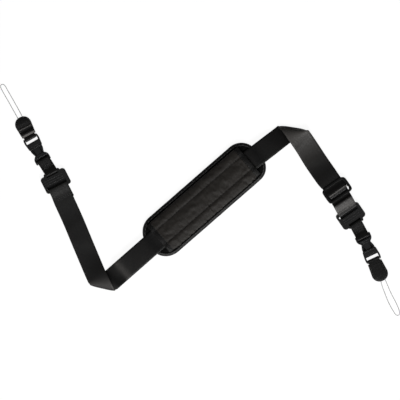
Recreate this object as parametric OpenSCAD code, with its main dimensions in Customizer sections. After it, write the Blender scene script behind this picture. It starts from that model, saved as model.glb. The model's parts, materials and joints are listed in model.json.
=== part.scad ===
// Padded neck and shoulder strap with a quick-release string loop at each end.
// Millimetres, +Z up. The origin is the centre of the pad's underside, on the table.
// The strap lies flat in a Z: the pad's run in the middle, then a folded tail on each side
// that ends in a reducer buckle, narrow webbing, a side-release buckle, a tab and a string.

/* [Webbing] */
// Width of the wide webbing
wide_w = 32; // [28:1:33]
// Width of the narrow webbing
narrow_w = 20; // [17:1:20]
// Thickness of every webbing
web_t = 1.2; // [1:0.1:1.4]
// Middle radius of the folded creases
fold_r = 0.9; // [0.8:0.1:1.2]

/* [Lie of the strap] */
// Heading of the pad's axis, in degrees from +X
pad_heading = 41.1; // [38:0.1:44]
// From the pad's centre to the left fold
left_run = 202; // [190:1:215]
// Heading from the left fold towards the pad's centre
left_run_heading = 41.3; // [39:0.1:43]
// From the left fold to the left reducer's wide bar
left_tail = 166; // [150:1:180]
// Heading of the left tail, away from its fold
left_tail_heading = 113.2; // [110:0.1:116]
// From the pad's centre to the slight bend in the right run
right_bend = 61; // [50:1:65]
// From that bend to the right fold
right_run = 111.5; // [105:0.5:125]
// Heading of the right run after its bend
right_run_heading = 37.6; // [36.5:0.1:39]
// From the right fold to the middle of the adjuster
right_tail = 112.6; // [105:0.2:125]
// Heading of the right tail, away from its fold
right_tail_heading = -55.2; // [-58:0.1:-52]
// From the middle of the adjuster to the right reducer's wide bar
doubled_len = 35.8; // [32:0.2:45]
// Heading of the doubled webbing
doubled_heading = -61.5; // [-63:0.1:-56]
// Headings of the left reducer, narrow webbing, side-release buckle and tab
left_headings = [117.1, 122.5, 119.8, 117.4];
// Headings of the same pieces on the right
right_headings = [-58, -62, -64.9, -65.7];

/* [Pad] */
// Length of the pad
pad_len = 216; // [200:1:225]
// Width of the pad
pad_w = 67.5; // [62:0.5:75]
// Radius of the pad's rounded corners
pad_corner_r = 27; // [20:1:30]
// Thickness of the pad's base
base_t = 6; // [5:0.2:7]
// Width of the bound edge
binding_w = 5; // [4:0.2:6]
// Thickness of the edge binding
binding_t = 1; // [0.8:0.1:1.2]
// Rise of the binding above the base panel
binding_rise = 0.3; // [0.1:0.1:0.5]
// Thickness of the base's fabric panel
panel_t = 0.7; // [0.5:0.1:1]
// How far the pad slides towards the left fold
slide_left = 40; // [10:1:42]
// How far the pad slides towards the right fold
slide_right = 25; // [10:1:26]

/* [Sleeve] */
// Length of the raised sleeve on the pad
sleeve_len = 180; // [165:1:185]
// Width of the raised sleeve
sleeve_w = 53.2; // [52:0.2:55]
// Width of the channel that the webbing runs through
channel_w = 42; // [40:0.5:44]
// Height of the sleeve's quilted seams above the table
quilt_z = 11.2; // [10.8:0.1:12]
// Rise of the padding between the seams
lobe_rise = 1.3; // [0.8:0.1:1.8]
// From the middle to each lengthwise seam
seam_y = 12.4; // [11:0.2:14]
// Thickness of the sleeve's fabric
cover_t = 0.8; // [0.6:0.1:1]
// Length of the hem tape at each end of the sleeve
hem_len = 8; // [6:0.5:10]

/* [Bars and clearances] */
// Diameter of the bars that webbing turns round
bar_d = 2.8; // [2.4:0.1:3]
// Clearance between a bar and the webbing round it
bar_gap = 0.1; // [0.05:0.01:0.1]
// Clearance under the lowest webbing
table_gap = 0.1; // [0.05:0.05:0.2]
// Clearance between soft layers that slide past each other
layer_gap = 0.3; // [0.2:0.05:0.4]
// Side clearance of webbing in a slot
slot_side_gap = 1; // [0.4:0.1:1.2]

/* [Adjuster] */
// Length of the adjuster along the webbing
adjuster_len = 26; // [24:0.5:28]
// Width of the adjuster
adjuster_w = 41.4; // [40:0.2:44]
// Radius of the adjuster's corners
adjuster_corner_r = 5.5; // [3:0.5:6]
// Width of the adjuster's outer bars
adjuster_bar_w = 3.6; // [3:0.1:4.2]
// Thickness of the adjuster's outer bars
adjuster_bar_t = 1.4; // [1:0.1:1.8]
// Width of the adjuster's middle bar
middle_bar_w = 6; // [4.5:0.5:7]
// Thickness of the adjuster's middle bar
middle_bar_t = 1.3; // [1:0.1:1.5]
// Travel of the adjuster towards the fold
adjust_in = 46; // [20:1:46]
// From the adjuster's middle to the end of the single webbing
run_end = 7; // [6:0.5:7.5]

/* [Reducer] */
// Length of the reducer's wide part
reducer_len = 26; // [25:0.5:28]
// Width of the reducer's wide part
reducer_w = 40.2; // [38.5:0.2:44]
// Width of the reducer's nose
nose_w = 24; // [23.5:0.2:26]
// Thickness of the reducer
reducer_t = 4; // [3.4:0.1:4.4]
// From the wide bar to the narrow bar
reducer_pitch = 24; // [23:0.2:25]
// From the wide bar to the start of the plate
plate_x = 5; // [4.6:0.1:6]
// Length of the plate
plate_len = 14.6; // [13:0.2:15]
// Height of the two ribs on the plate
rib_h = 0.4; // [0.2:0.1:0.6]

/* [Side-release buckle] */
// Length of the narrow webbing between its two bars
narrow_len = 22.5; // [20:0.5:28]
// Width of the plug half's base
plug_w = 23.4; // [23:0.2:26]
// Width of the plug's neck
neck_w = 15.2; // [14.8:0.2:15.4]
// From the plug's bar to the socket's mouth
mouth_x = 20.6; // [20.2:0.2:21]
// From the plug's bar to the socket's bar
buckle_pitch = 37.8; // [37.6:0.2:39]
// Width of the socket at its mouth
socket_mouth_w = 21.2; // [21:0.1:22]
// Greatest width of the socket
socket_w = 23.4; // [23:0.2:25]
// Thickness of the socket
socket_t = 5.6; // [5.4:0.1:6]
// Length of the see-through slot before the tab
slot_len = 4.2; // [3.8:0.1:4.4]
// Thickness of the plug's tongue and latch arms
tongue_t = 2.8; // [2.4:0.1:3]

/* [Tab] */
// From the socket's bar to the end of the tab
tab_len = 34.2; // [30:0.2:38]
// Greatest width of the tab
tab_w = 24.4; // [23:0.2:26]
// Width of the tab beside the buckle
tab_neck_w = 21.5; // [20:0.1:22.5]
// Width of the fold that goes round the socket's bar
tab_fold_w = 18.4; // [16:0.2:18.6]
// Drop of the tab's upper face towards its end
tab_drop = 1; // [0.4:0.1:1.2]
// Diameter of the string
string_d = 1.1; // [0.9:0.1:1.3]
// Spacing of the string's two ends in the tab
string_pitch = 7.2; // [5:0.2:9]

/* [Stitching] */
// Length of one stitch
stitch_len = 3.2; // [2.4:0.2:4]
// Distance from one stitch to the next
stitch_pitch = 4.5; // [4.2:0.1:6]
// Width of the thread
thread_w = 0.5; // [0.4:0.1:0.8]
// Height of the thread above the cloth
thread_h = 0.25; // [0.15:0.05:0.3]

/* [Hidden] */
$fn = 48;

// Colours
web_color = [0.13, 0.13, 0.14];
cover_color = [0.11, 0.11, 0.1];
lining_color = [0.16, 0.16, 0.16];
foam_color = [0.32, 0.32, 0.33];
binding_color = [0.17, 0.17, 0.17];
plastic_color = [0.07, 0.07, 0.07];
arm_color = [0.1, 0.1, 0.11];
tab_color = [0.1, 0.1, 0.1];
thread_color = [0.22, 0.22, 0.22];
string_color = [0.55, 0.55, 0.55];

// Heights of webbing round a bar
loop_in = bar_d / 2 + bar_gap;
loop_out = loop_in + web_t;
loop_mid = (loop_in + loop_out) / 2;
bar_z = loop_out + table_gap;
low_z = bar_z - loop_mid;
high_z = bar_z + loop_mid;
ply_gap = 0.1;
nudge = 0.04;
sewn_z = low_z + web_t + ply_gap;
sewn_len = 22;
over_bar = 3;
bend_back = 14;
ease = 16;

// Height of the webbing in the sleeve's channel
panel_z = base_t - panel_t;
binding_top = base_t + binding_rise;
run_z = binding_top + layer_gap + web_t / 2;
ceiling_z = run_z + web_t / 2 + layer_gap;
lining_t = 0.6;

// Heights in the adjuster, from the table up
adjuster_base = low_z + web_t / 2 + ply_gap;
middle_bar_top = adjuster_base + middle_bar_t;
folded_ply_z = middle_bar_top + ply_gap + web_t / 2;
adjuster_run_z = folded_ply_z + web_t + layer_gap;
outer_bar_z = adjuster_run_z + web_t / 2 + layer_gap / 2;
adjuster_top = outer_bar_z + adjuster_bar_t;
slide_clear = 3;

// Plan directions and places
function dir(a) = [cos(a), sin(a)];
function left_of(d) = [-d[1], d[0]];
function unit(v) = v / norm(v);
function raise(p, z) = [p[0], p[1], z];

fold_left = -left_run * dir(left_run_heading);
bend_right = right_bend * dir(pad_heading);
fold_right = bend_right + right_run * dir(right_run_heading);
wide_bar_left = fold_left + left_tail * dir(left_tail_heading);
adjuster_at = fold_right + right_tail * dir(right_tail_heading);
wide_bar_right = adjuster_at + doubled_len * dir(doubled_heading);

function narrow_bar(wide_bar, h) = wide_bar + reducer_pitch * dir(h[0]);
function plug_bar(wide_bar, h) = narrow_bar(wide_bar, h) + narrow_len * dir(h[1]);
function socket_bar(wide_bar, h) = plug_bar(wide_bar, h) + buckle_pitch * dir(h[2]);

// ---- Ribbon: stations of [middle point, half width, thickness direction] ----
function level(p, z, d, up, w = wide_w) = [raise(p, z), raise(up * w / 2 * left_of(d), 0), [0, 0, up]];

// Half a turn of the ribbon, towards the side that its thickness direction points to
function turned(p, z, out, half, up, r) = [for (a = [0:30:180])
    [raise(p + out * r * sin(a), z + up * r * (1 - cos(a))), half,
     raise(-out * sin(a), up * cos(a))]];

// A crease that sends a ribbon from heading d1 to heading d2
function creased(p, z, d1, d2, up) =
    let(c = unit(d1 + d2))
    turned(p, z, unit(d1 - d2), raise(c * up * wide_w / 2 / (c * left_of(d1)), 0), up, fold_r);

// How far a crease and its overlap reach along the ribbon from the crease's middle
function crease_reach(d1, d2) =
    let(c = unit(d1 + d2), s = abs(c * left_of(d1)), k = abs(c * d1))
    wide_w / 2 * max(s / k, k / s) + 1;

function ribbon_points(stations) = [for (s = stations) each [
    s[0] - s[1] - s[2] * web_t / 2,
    s[0] + s[1] - s[2] * web_t / 2,
    s[0] + s[1] + s[2] * web_t / 2,
    s[0] - s[1] + s[2] * web_t / 2]];

// The four walls of a ribbon's first stretches; past the last station they meet the first
function ribbon_walls(n, stretches) = [for (i = [0:stretches - 1], k = [0:3])
    let(j = (i + 1) % n, a = 4 * i + k, b = 4 * i + (k + 1) % 4, c = 4 * j + k, d = 4 * j + (k + 1) % 4)
    each [[a, c, d], [a, d, b]]];

module ribbon(stations) {
    n = len(stations);
    ends = [[0, 1, 2], [0, 2, 3], [4 * n - 1, 4 * n - 2, 4 * n - 3], [4 * n - 1, 4 * n - 3, 4 * n - 4]];
    polyhedron(ribbon_points(stations), concat(ribbon_walls(n, n - 1), ends), convexity = 6);
}

// A ribbon whose end meets its start
module band(stations) {
    n = len(stations);
    polyhedron(ribbon_points(stations), ribbon_walls(n, n), convexity = 6);
}

// ---- Cord: a tube of eight sides with one ring at each point of its route ----
function along(route, i) =
    let(n = len(route)) unit(route[min(i + 1, n - 1)] - route[max(i - 1, 0)]);

module cord(route) {
    n = len(route);
    sides = 8;
    r = string_d / 2;
    points = [for (i = [0:n - 1])
        let(t = along(route, i), s = unit(cross(t, [0, 0, 1])), u = cross(s, t))
        for (k = [0:sides - 1]) route[i] + r * (cos(360 * k / sides) * s + sin(360 * k / sides) * u)];
    walls = [for (i = [0:n - 2], k = [0:sides - 1])
        let(a = sides * i + k, b = sides * i + (k + 1) % sides)
        each [[a, a + sides, b + sides], [a, b + sides, b]]];
    first_cap = [[for (k = [0:sides - 1]) k]];
    last_cap = [[for (k = [0:sides - 1]) sides * n - 1 - k]];
    polyhedron(points, concat(walls, first_cap, last_cap), convexity = 6);
}

string_left = [[-277.6, 119.8, 2.2], [-279.6, 123.8, 1.8], [-282, 128.2, 1], [-285, 133.4, 0.6],
    [-289, 140.6, 0.6], [-293.5, 148.6, 0.6], [-298, 156.4, 0.6], [-302, 163.4, 0.6],
    [-304, 167.6, 0.6], [-304.4, 170.6, 0.6], [-302.4, 172.6, 0.6], [-299.4, 172.2, 0.6],
    [-297.2, 169.8, 0.6], [-294.6, 165.2, 0.6], [-290.4, 158, 0.6], [-286, 150.2, 0.6],
    [-281.6, 142.4, 0.6], [-278, 136, 0.6], [-275.4, 131.2, 1], [-273.2, 127.2, 1.8],
    [-271.2, 123.2, 2.2]];
string_right = [[265.8, -121.6, 2.2], [266.8, -125.8, 1.8], [268.2, -130.6, 1], [270.2, -136, 0.6],
    [273.2, -143.8, 0.6], [276.4, -151.8, 0.6], [280, -159.2, 0.6], [284, -166.4, 0.6],
    [287.2, -171.4, 0.6], [290, -173.8, 0.6], [293, -173.4, 0.6], [294.4, -170.6, 0.6],
    [293.4, -166, 0.6], [290.6, -158.8, 0.6], [286.8, -151, 0.6], [282.8, -143.6, 0.6],
    [279.8, -137.4, 0.6], [277.2, -131.4, 1], [274.6, -125.4, 1.8], [272, -119.2, 2.2]];

// ---- Placing ----
module at(p, heading) { translate([p[0], p[1], 0]) rotate(heading) children(); }

// At a side's narrow bar, plug bar or socket bar
module at_narrow(bar_at, h) { at(narrow_bar(bar_at, h), h[1]) children(); }

module at_plug(bar_at, h) { at(plug_bar(bar_at, h), h[2]) children(); }

module at_tab(bar_at, h) { at(socket_bar(bar_at, h), h[2]) children(); }

// A profile in X and Z at the bars' height, extruded to a width across the strap
module across(width) {
    translate([0, 0, bar_z]) rotate([90, 0, 0]) linear_extrude(width, center = true) children();
}

// Points of an arc about [x, 0], from angle a0 to angle a1
function arc(x, r, a0, a1) =
    [for (i = [0:12]) let(a = a0 + (a1 - a0) * i / 12) [x + r * cos(a), r * sin(a)]];

module rounded(l, w, r) {
    for (sx = [-1, 1], sy = [-1, 1])
        translate([sx * (l / 2 - r), sy * (w / 2 - r)]) circle(r);
    square([l - 2 * r, w], center = true);
    square([l, w - 2 * r], center = true);
}

module box(x0, x1, y0, y1, z0, z1) {
    translate([x0, y0, z0]) cube([x1 - x0, y1 - y0, z1 - z0]);
}

// The same box on both sides of the middle line
module box_pair(x0, x1, y0, y1, z0, z1) {
    box(x0, x1, y0, y1, z0, z1);
    box(x0, x1, -y1, -y0, z0, z1);
}

module bar(x, length) {
    translate([x, 0, bar_z]) rotate([90, 0, 0]) cylinder(d = bar_d, h = length, center = true);
}

// A row of stitches along X
module stitch_row(x0, x1, y, z) {
    count = floor((x1 - x0 - stitch_len) / stitch_pitch) + 1;
    start = (x0 + x1 - (count - 1) * stitch_pitch - stitch_len) / 2;
    for (i = [0:count - 1])
        box(start + i * stitch_pitch, start + i * stitch_pitch + stitch_len,
            y - thread_w / 2, y + thread_w / 2, z, z + thread_h);
}

// ---- Main webbing ----
left_out = dir(left_headings[0]);
tail_start_left = wide_bar_left - left_out * bend_back;
tail_dir_left = unit(fold_left - tail_start_left);
run_dir_left = dir(left_run_heading);
run_dir_right = dir(right_run_heading);
tail_dir_right = dir(right_tail_heading);
reach_left = crease_reach(tail_dir_left, run_dir_left);
reach_right = crease_reach(run_dir_right, tail_dir_right);
top_of_fold = low_z + 2 * fold_r;
flat_left = pad_len / 2 + slide_left;
flat_right = pad_len / 2 + slide_right - right_bend;
flat_tail = right_tail - adjust_in - adjuster_len / 2 - slide_clear;

module main_webbing() {
    color(web_color) ribbon([
        level(wide_bar_left - left_out * sewn_len, low_z, left_out, 1),
        each turned(wide_bar_left, low_z, left_out, raise(left_of(left_out) * wide_w / 2, 0), 1, loop_mid),
        level(wide_bar_left - left_out * over_bar, high_z, -left_out, -1),
        level(tail_start_left, sewn_z, unit(tail_dir_left - left_out), -1),
        level(tail_start_left + tail_dir_left * (sewn_len - bend_back + 2), sewn_z, tail_dir_left, -1),
        level(tail_start_left + tail_dir_left * (sewn_len - bend_back + ease), low_z, tail_dir_left, -1),
        level(fold_left - tail_dir_left * (reach_left + ease), low_z, tail_dir_left, -1),
        level(fold_left - tail_dir_left * reach_left, top_of_fold, tail_dir_left, -1),
        each creased(fold_left, top_of_fold, tail_dir_left, run_dir_left, -1),
        level(fold_left + run_dir_left * reach_left, low_z, run_dir_left, 1),
        level(-run_dir_left * flat_left, run_z, run_dir_left, 1),
        level([0, 0], run_z, dir((left_run_heading + pad_heading) / 2), 1),
        level(bend_right, run_z, dir((pad_heading + right_run_heading) / 2), 1),
        level(bend_right + run_dir_right * flat_right, run_z, run_dir_right, 1),
        level(fold_right - run_dir_right * reach_right, low_z, run_dir_right, 1),
        each creased(fold_right, low_z, run_dir_right, tail_dir_right, 1),
        level(fold_right + tail_dir_right * reach_right, top_of_fold, tail_dir_right, -1),
        level(fold_right + tail_dir_right * flat_tail, adjuster_run_z, tail_dir_right, -1),
        level(adjuster_at + tail_dir_right * run_end, adjuster_run_z, tail_dir_right, -1)]);
}

module left_end_stitching() {
    color(thread_color) at(wide_bar_left, left_headings[0])
        for (y = [-wide_w / 2 + 3:stitch_pitch:wide_w / 2 - 3 - stitch_len], x = [-19, -17])
            translate([x, y, sewn_z + web_t / 2]) cube([thread_w, stitch_len, thread_h]);
}

// ---- Pad, along X about the origin ----
module pad_outline(inset) { rounded(pad_len - 2 * inset, pad_w - 2 * inset, pad_corner_r - inset); }

module slab(z0, z1, inset) { translate([0, 0, z0]) linear_extrude(z1 - z0) pad_outline(inset); }

module pad_backing() { color(lining_color) rotate(pad_heading) slab(0, binding_t, binding_w); }

module pad_foam() { color(foam_color) rotate(pad_heading) slab(binding_t, panel_z, binding_t); }

module pad_base_panel() { color(lining_color) rotate(pad_heading) slab(panel_z, base_t, binding_w); }

module pad_edge_binding() {
    color(binding_color) rotate(pad_heading) difference() {
        slab(0, binding_top, 0);
        slab(binding_t, panel_z, binding_t);
        slab(-1, binding_top + 1, binding_w);
    }
}

module pad_edge_stitching() {
    straight_x = pad_len / 2 - pad_corner_r;
    row_y = pad_w / 2 - binding_w + 1;
    row_r = row_y - pad_w / 2 + pad_corner_r;
    turns = floor(1.4 * row_r / stitch_pitch);
    color(thread_color) rotate(pad_heading) for (s = [-1, 1]) {
        stitch_row(-straight_x, straight_x, s * row_y, binding_top);
        for (e = [-1, 1], i = [1:turns - 1])
            translate([e * straight_x, s * (pad_w / 2 - pad_corner_r), binding_top])
                rotate(s * e * (90 - 75 * i / turns) + (e < 0 ? 180 : 0))
                translate([row_r - thread_w / 2, -stitch_len / 2, 0])
                cube([thread_w, stitch_len, thread_h]);
    }
}

// Half of the sleeve's crowned cross-section: seam at seam_y, rounded shoulder at the edge
function sleeve_height(y, inset) =
    let(edge = sleeve_w / 2 - inset, w = edge - seam_y)
    y <= seam_y
        ? quilt_z - inset + lobe_rise * (1 - pow(y / seam_y, 2))
        : quilt_z - inset + lobe_rise * 0.6 * sin(min(180, 300 * (y - seam_y) / w))
            - (quilt_z - base_t) * 0.45 * pow(max(0, (y - seam_y) / w - 0.35) / 0.65, 3);

module sleeve_profile(inset) {
    edge = sleeve_w / 2 - inset;
    steps = 8;
    right_half = concat(
        [for (i = [0:steps - 1]) seam_y * i / steps],
        [for (i = [0:steps]) seam_y + (edge - seam_y) * i / steps]);
    n = len(right_half) - 1;
    polygon(concat(
        [[-edge, base_t], [edge, base_t]],
        [for (i = [0:n]) let(y = right_half[n - i]) [y, sleeve_height(y, inset)]],
        [for (i = [1:n]) let(y = right_half[i]) [-y, sleeve_height(y, inset)]]));
}

// Cross-section pieces run along the pad from x0 to x1
module along_pad(x0, x1) {
    translate([x0, 0, 0]) rotate([90, 0, 90]) linear_extrude(x1 - x0) children();
}

hem_x = sleeve_len / 2 - hem_len;
lining_top = ceiling_z + lining_t;
hem_step = 0.3;

module sleeve_lining() {
    side_y = sleeve_w / 2 - cover_t;
    color(lining_color) rotate(pad_heading) {
        box(-hem_x, hem_x, -side_y, side_y, ceiling_z, lining_top);
        box_pair(-hem_x, hem_x, channel_w / 2, side_y, base_t, ceiling_z);
    }
}

module sleeve_foam() {
    color(foam_color) rotate(pad_heading) along_pad(-hem_x, hem_x) difference() {
        sleeve_profile(cover_t);
        translate([-sleeve_w / 2, 0]) square([sleeve_w, lining_top]);
    }
}

module sleeve_cover() {
    color(cover_color) rotate(pad_heading) along_pad(-hem_x, hem_x) difference() {
        sleeve_profile(0);
        sleeve_profile(cover_t);
        translate([-sleeve_w / 2 + cover_t, 0]) square([sleeve_w - 2 * cover_t, lining_top]);
    }
}

module sleeve_hem(side) {
    x0 = side < 0 ? -sleeve_len / 2 : hem_x;
    color(binding_color) rotate(pad_heading) along_pad(x0, x0 + hem_len) difference() {
        translate([0, -hem_step]) sleeve_profile(0);
        translate([-sleeve_w, 0]) square([2 * sleeve_w, base_t]);
        translate([-channel_w / 2, 0]) square([channel_w, ceiling_z]);
    }
}

module sleeve_hem_left() { sleeve_hem(-1); }

module sleeve_hem_right() { sleeve_hem(1); }

module sleeve_quilting() {
    color(thread_color) rotate(pad_heading) for (s = [-1, 1])
        stitch_row(-hem_x + 2, hem_x - 2, s * seam_y, quilt_z + 0.05);
}

// ---- Adjuster, along X about its middle ----
rail_in_wide = wide_w / 2 + slot_side_gap;

module adjuster() {
    inner_x = adjuster_len / 2 - adjuster_bar_w;
    color(plastic_color) at(adjuster_at, right_tail_heading) {
        difference() {
            translate([0, 0, adjuster_base]) linear_extrude(adjuster_top - adjuster_base)
                rounded(adjuster_len, adjuster_w, adjuster_corner_r);
            box(-inner_x, inner_x, -rail_in_wide, rail_in_wide, 0, adjuster_top + 1);
            box(-adjuster_len, adjuster_len, -rail_in_wide, rail_in_wide, 0, outer_bar_z);
        }
        box(-middle_bar_w / 2, middle_bar_w / 2, -rail_in_wide - 0.5, rail_in_wide + 0.5,
            adjuster_base, middle_bar_top);
    }
}

// The sewn end of the webbing: round the middle bar and flat on itself beyond it
end_loop_r = (folded_ply_z - low_z + web_t) / 2;
end_loop_x = middle_bar_w / 2 + ply_gap;
sewn_end_x = adjuster_len / 2 - 0.4;

module adjuster_webbing_end() {
    hole_r = end_loop_r - web_t;
    pinch_x = end_loop_x + 3.4;
    top = 2 * end_loop_r;
    color(web_color) at(adjuster_at, right_tail_heading)
        translate([0, 0, low_z - web_t / 2]) rotate([90, 0, 0]) linear_extrude(wide_w, center = true)
        difference() {
            union() {
                translate([-end_loop_x, end_loop_r]) circle(end_loop_r);
                polygon([[-end_loop_x, 0], [sewn_end_x, 0], [sewn_end_x, 2 * web_t + 0.1],
                    [pinch_x, 2 * web_t + 0.1], [end_loop_x, top], [-end_loop_x, top]]);
            }
            translate([-end_loop_x, end_loop_r]) circle(hole_r);
            translate([-end_loop_x, web_t]) square([2 * end_loop_x, 2 * hole_r]);
            polygon([[end_loop_x - 0.01, web_t], [end_loop_x + 2, web_t], [end_loop_x - 0.01, top - web_t]]);
        }
}

module adjuster_stitching() {
    color(thread_color) at(adjuster_at, right_tail_heading)
        for (y = [-wide_w / 2 + 3:stitch_pitch:wide_w / 2 - 3 - stitch_len], x = [8.4, 10.4])
            translate([x, y, low_z + web_t * 1.5 + 0.1]) cube([thread_w, stitch_len, thread_h]);
}

// ---- Doubled webbing between the adjuster and the right reducer ----
loop_back = 4;
top_start = run_end + layer_gap;
right_out = dir(right_headings[0]);

module doubled_webbing(start_x, start_z, end_z) {
    color(web_color) ribbon([
        level(adjuster_at + tail_dir_right * start_x, start_z, tail_dir_right, 1),
        level(wide_bar_right - right_out * (loop_back + 0.05), end_z, right_out, 1)]);
}

module doubled_webbing_top() { doubled_webbing(top_start, adjuster_run_z, high_z); }

module doubled_webbing_bottom() { doubled_webbing(sewn_end_x + 0.05, low_z, low_z); }

// Webbing round one bar, with both plies running back to x0
module loop_profile(x0) {
    difference() {
        union() {
            circle(loop_out);
            translate([x0, -loop_out]) square([-x0, 2 * loop_out]);
        }
        circle(loop_in);
        translate([x0 - 1, -loop_in]) square([1 - x0, 2 * loop_in]);
    }
}

module reducer_webbing_loop() {
    color(web_color) at(wide_bar_right, right_headings[0]) across(wide_w) loop_profile(-loop_back);
}

// ---- Reducer, its wide bar at X = 0 ----
module reducer() {
    end_x = -3;
    plate_end = plate_x + plate_len;
    wide_end = end_x + reducer_len;
    nose_end = reducer_pitch + 2.2;
    nose_in = narrow_w / 2 + 0.5;
    z0 = bar_z - reducer_t / 2;
    z1 = bar_z + reducer_t / 2;
    color(plastic_color) {
        difference() {
            translate([0, 0, z0]) linear_extrude(reducer_t) {
                translate([(end_x + wide_end) / 2, 0]) rounded(reducer_len, reducer_w, 4);
                translate([(wide_end - 6 + nose_end) / 2, 0]) rounded(nose_end - wide_end + 6, nose_w, 1.6);
            }
            box(end_x - 1, plate_x, -rail_in_wide, rail_in_wide, 0, 10);
            box(plate_end, nose_end + 1, -nose_in, nose_in, 0, 10);
            box(plate_x, plate_end, -rail_in_wide, rail_in_wide, z1 - rib_h, z1 + 1);
            box(plate_x, plate_end, -rail_in_wide, rail_in_wide, z0 - 1, z0 + rib_h);
        }
        for (x = [plate_x + plate_len / 3, plate_x + plate_len * 2 / 3])
            box(x - 0.5, x + 0.5, -rail_in_wide - 0.2, rail_in_wide + 0.2, z1 - rib_h - 0.2, z1);
        bar(0, 2 * rail_in_wide + 1);
        bar(reducer_pitch, 2 * nose_in + 0.8);
    }
}

module reducer_left() { at(wide_bar_left, left_headings[0]) reducer(); }

module reducer_right() { at(wide_bar_right, right_headings[0]) reducer(); }

// ---- Narrow webbing: a band round two bars, its plies sewn together in the middle ----
module narrow_webbing(bar_at, h) {
    p0 = narrow_bar(bar_at, h);
    p1 = plug_bar(bar_at, h);
    along_it = dir(h[1]);
    sewn_from = narrow_len * 0.35;
    ply = (web_t + ply_gap) / 2;
    color(web_color) band([
        each turned(p0, low_z, -dir(h[0]), raise(left_of(-dir(h[0])) * narrow_w / 2, 0), 1, loop_mid),
        level(p0 + along_it * sewn_from, bar_z + ply, along_it, -1, narrow_w),
        level(p1 - along_it * sewn_from, bar_z + ply, along_it, -1, narrow_w),
        each turned(p1, high_z, dir(h[2]), raise(-left_of(dir(h[2])) * narrow_w / 2, 0), -1, loop_mid),
        level(p1 - along_it * sewn_from, bar_z - ply, -along_it, 1, narrow_w),
        level(p0 + along_it * sewn_from, bar_z - ply, -along_it, 1, narrow_w)]);
}

module bartack() {
    middle = narrow_len / 2;
    color(thread_color) for (x = [middle - 2, middle, middle + 2])
        for (i = [0:2])
            box(x - thread_w / 2, x + thread_w / 2, narrow_w * (i / 3 - 0.45), narrow_w * (i / 3 - 0.22),
                bar_z + web_t + ply_gap / 2, bar_z + web_t + ply_gap / 2 + thread_h);
}

module narrow_webbing_left() { narrow_webbing(wide_bar_left, left_headings); }

module narrow_webbing_right() { narrow_webbing(wide_bar_right, right_headings); }

module bartack_left() { at_narrow(wide_bar_left, left_headings) bartack(); }

module bartack_right() { at_narrow(wide_bar_right, right_headings) bartack(); }

// ---- Side-release buckle, the plug's bar at X = 0 ----
pivot_x = 10.4;
pivot_r = 1;
pivot_y = neck_w / 2 - pivot_r;
tongue_z0 = bar_z - tongue_t / 2;
tongue_z1 = bar_z + tongue_t / 2;
tongue_half = 4.4;
arm_out = 9.4;
cavity_half = arm_out + 0.2;
window_x0 = mouth_x + 1.8;
head_x0 = window_x0 + 0.15;
head_x1 = head_x0 + 5.8;
window_x1 = head_x1 + 0.3;
cavity_end = window_x1 + 0.7;
slot_x0 = buckle_pitch - loop_out - slot_len;
socket_end = buckle_pitch + 2.2;
tongue_end = cavity_end - 0.4;

module buckle_plug() {
    slot_half = narrow_w / 2 + 0.3;
    base_x = 4.5;
    shoulder_x = 8.3;
    z0 = bar_z - 2;
    color(plastic_color) {
        difference() {
            translate([0, 0, z0]) linear_extrude(4) {
                translate([(shoulder_x - 3.4) / 2, 0]) rounded(shoulder_x + 3.4, plug_w, 1.4);
                polygon([[shoulder_x - 2, plug_w / 2 - 1], [shoulder_x - 2, 1 - plug_w / 2],
                    [pivot_x, -neck_w / 2], [pivot_x, neck_w / 2]]);
            }
            box(-5, base_x, -slot_half, slot_half, 0, 10);
            for (s = [-1, 1]) {
                translate([pivot_x, s * pivot_y, 0]) cylinder(r = pivot_r + 0.05, h = 10);
                box(pivot_x - pivot_r, pivot_x + 1, s > 0 ? pivot_y : -neck_w / 2 - 1,
                    s > 0 ? neck_w / 2 + 1 : -pivot_y, 0, 10);
            }
        }
        translate([0, 0, tongue_z0]) linear_extrude(tongue_t) polygon([
            [shoulder_x, -tongue_half], [tongue_end - 2, -tongue_half], [tongue_end, 1.6 - tongue_half],
            [tongue_end, tongue_half - 1.6], [tongue_end - 2, tongue_half], [shoulder_x, tongue_half]]);
        bar(0, 2 * slot_half + 0.8);
    }
}

// One latch arm on the +Y side
module latch_arm() {
    inner = arm_out - 2;
    color(arm_color) translate([0, 0, tongue_z0]) linear_extrude(tongue_t) {
        translate([pivot_x, pivot_y]) circle(pivot_r);
        polygon([[pivot_x, pivot_y - pivot_r], [mouth_x, inner], [head_x1, inner],
            [head_x1, arm_out - 0.8], [head_x1 - 2.8, arm_out + 1.1], [head_x0, arm_out + 1.1],
            [head_x0, arm_out], [mouth_x, arm_out], [pivot_x, pivot_y + pivot_r]]);
    }
}

module buckle_socket() {
    z1 = socket_t;
    rail_in = tab_fold_w / 2 + 0.3;
    half_mouth = socket_mouth_w / 2;
    half = socket_w / 2;
    widest_x = 32.3;
    color(plastic_color) {
        difference() {
            linear_extrude(z1) polygon([
                [mouth_x, half_mouth - 0.8], [mouth_x + 1, half_mouth], [widest_x, half],
                [socket_end - 1.8, half - 0.4], [socket_end, half - 1.8],
                [socket_end, 1.8 - half], [socket_end - 1.8, 0.4 - half], [widest_x, -half],
                [mouth_x + 1, -half_mouth], [mouth_x, 0.8 - half_mouth]]);
            box(mouth_x - 1, cavity_end, -cavity_half, cavity_half, tongue_z0 - 0.2, tongue_z1 + 0.2);
            box_pair(window_x0, window_x1, cavity_half - 0.1, socket_w, tongue_z0 - 0.2, tongue_z1 + 0.2);
            box(slot_x0, socket_end + 1, -rail_in, rail_in, -1, z1 + 1);
        }
        bar(buckle_pitch, 2 * rail_in + 0.8);
    }
}

module buckle_plug_left() { at_plug(wide_bar_left, left_headings) buckle_plug(); }

module latch_arm_left_a() { at_plug(wide_bar_left, left_headings) latch_arm(); }

module latch_arm_left_b() { at_plug(wide_bar_left, left_headings) mirror([0, 1, 0]) latch_arm(); }

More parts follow.
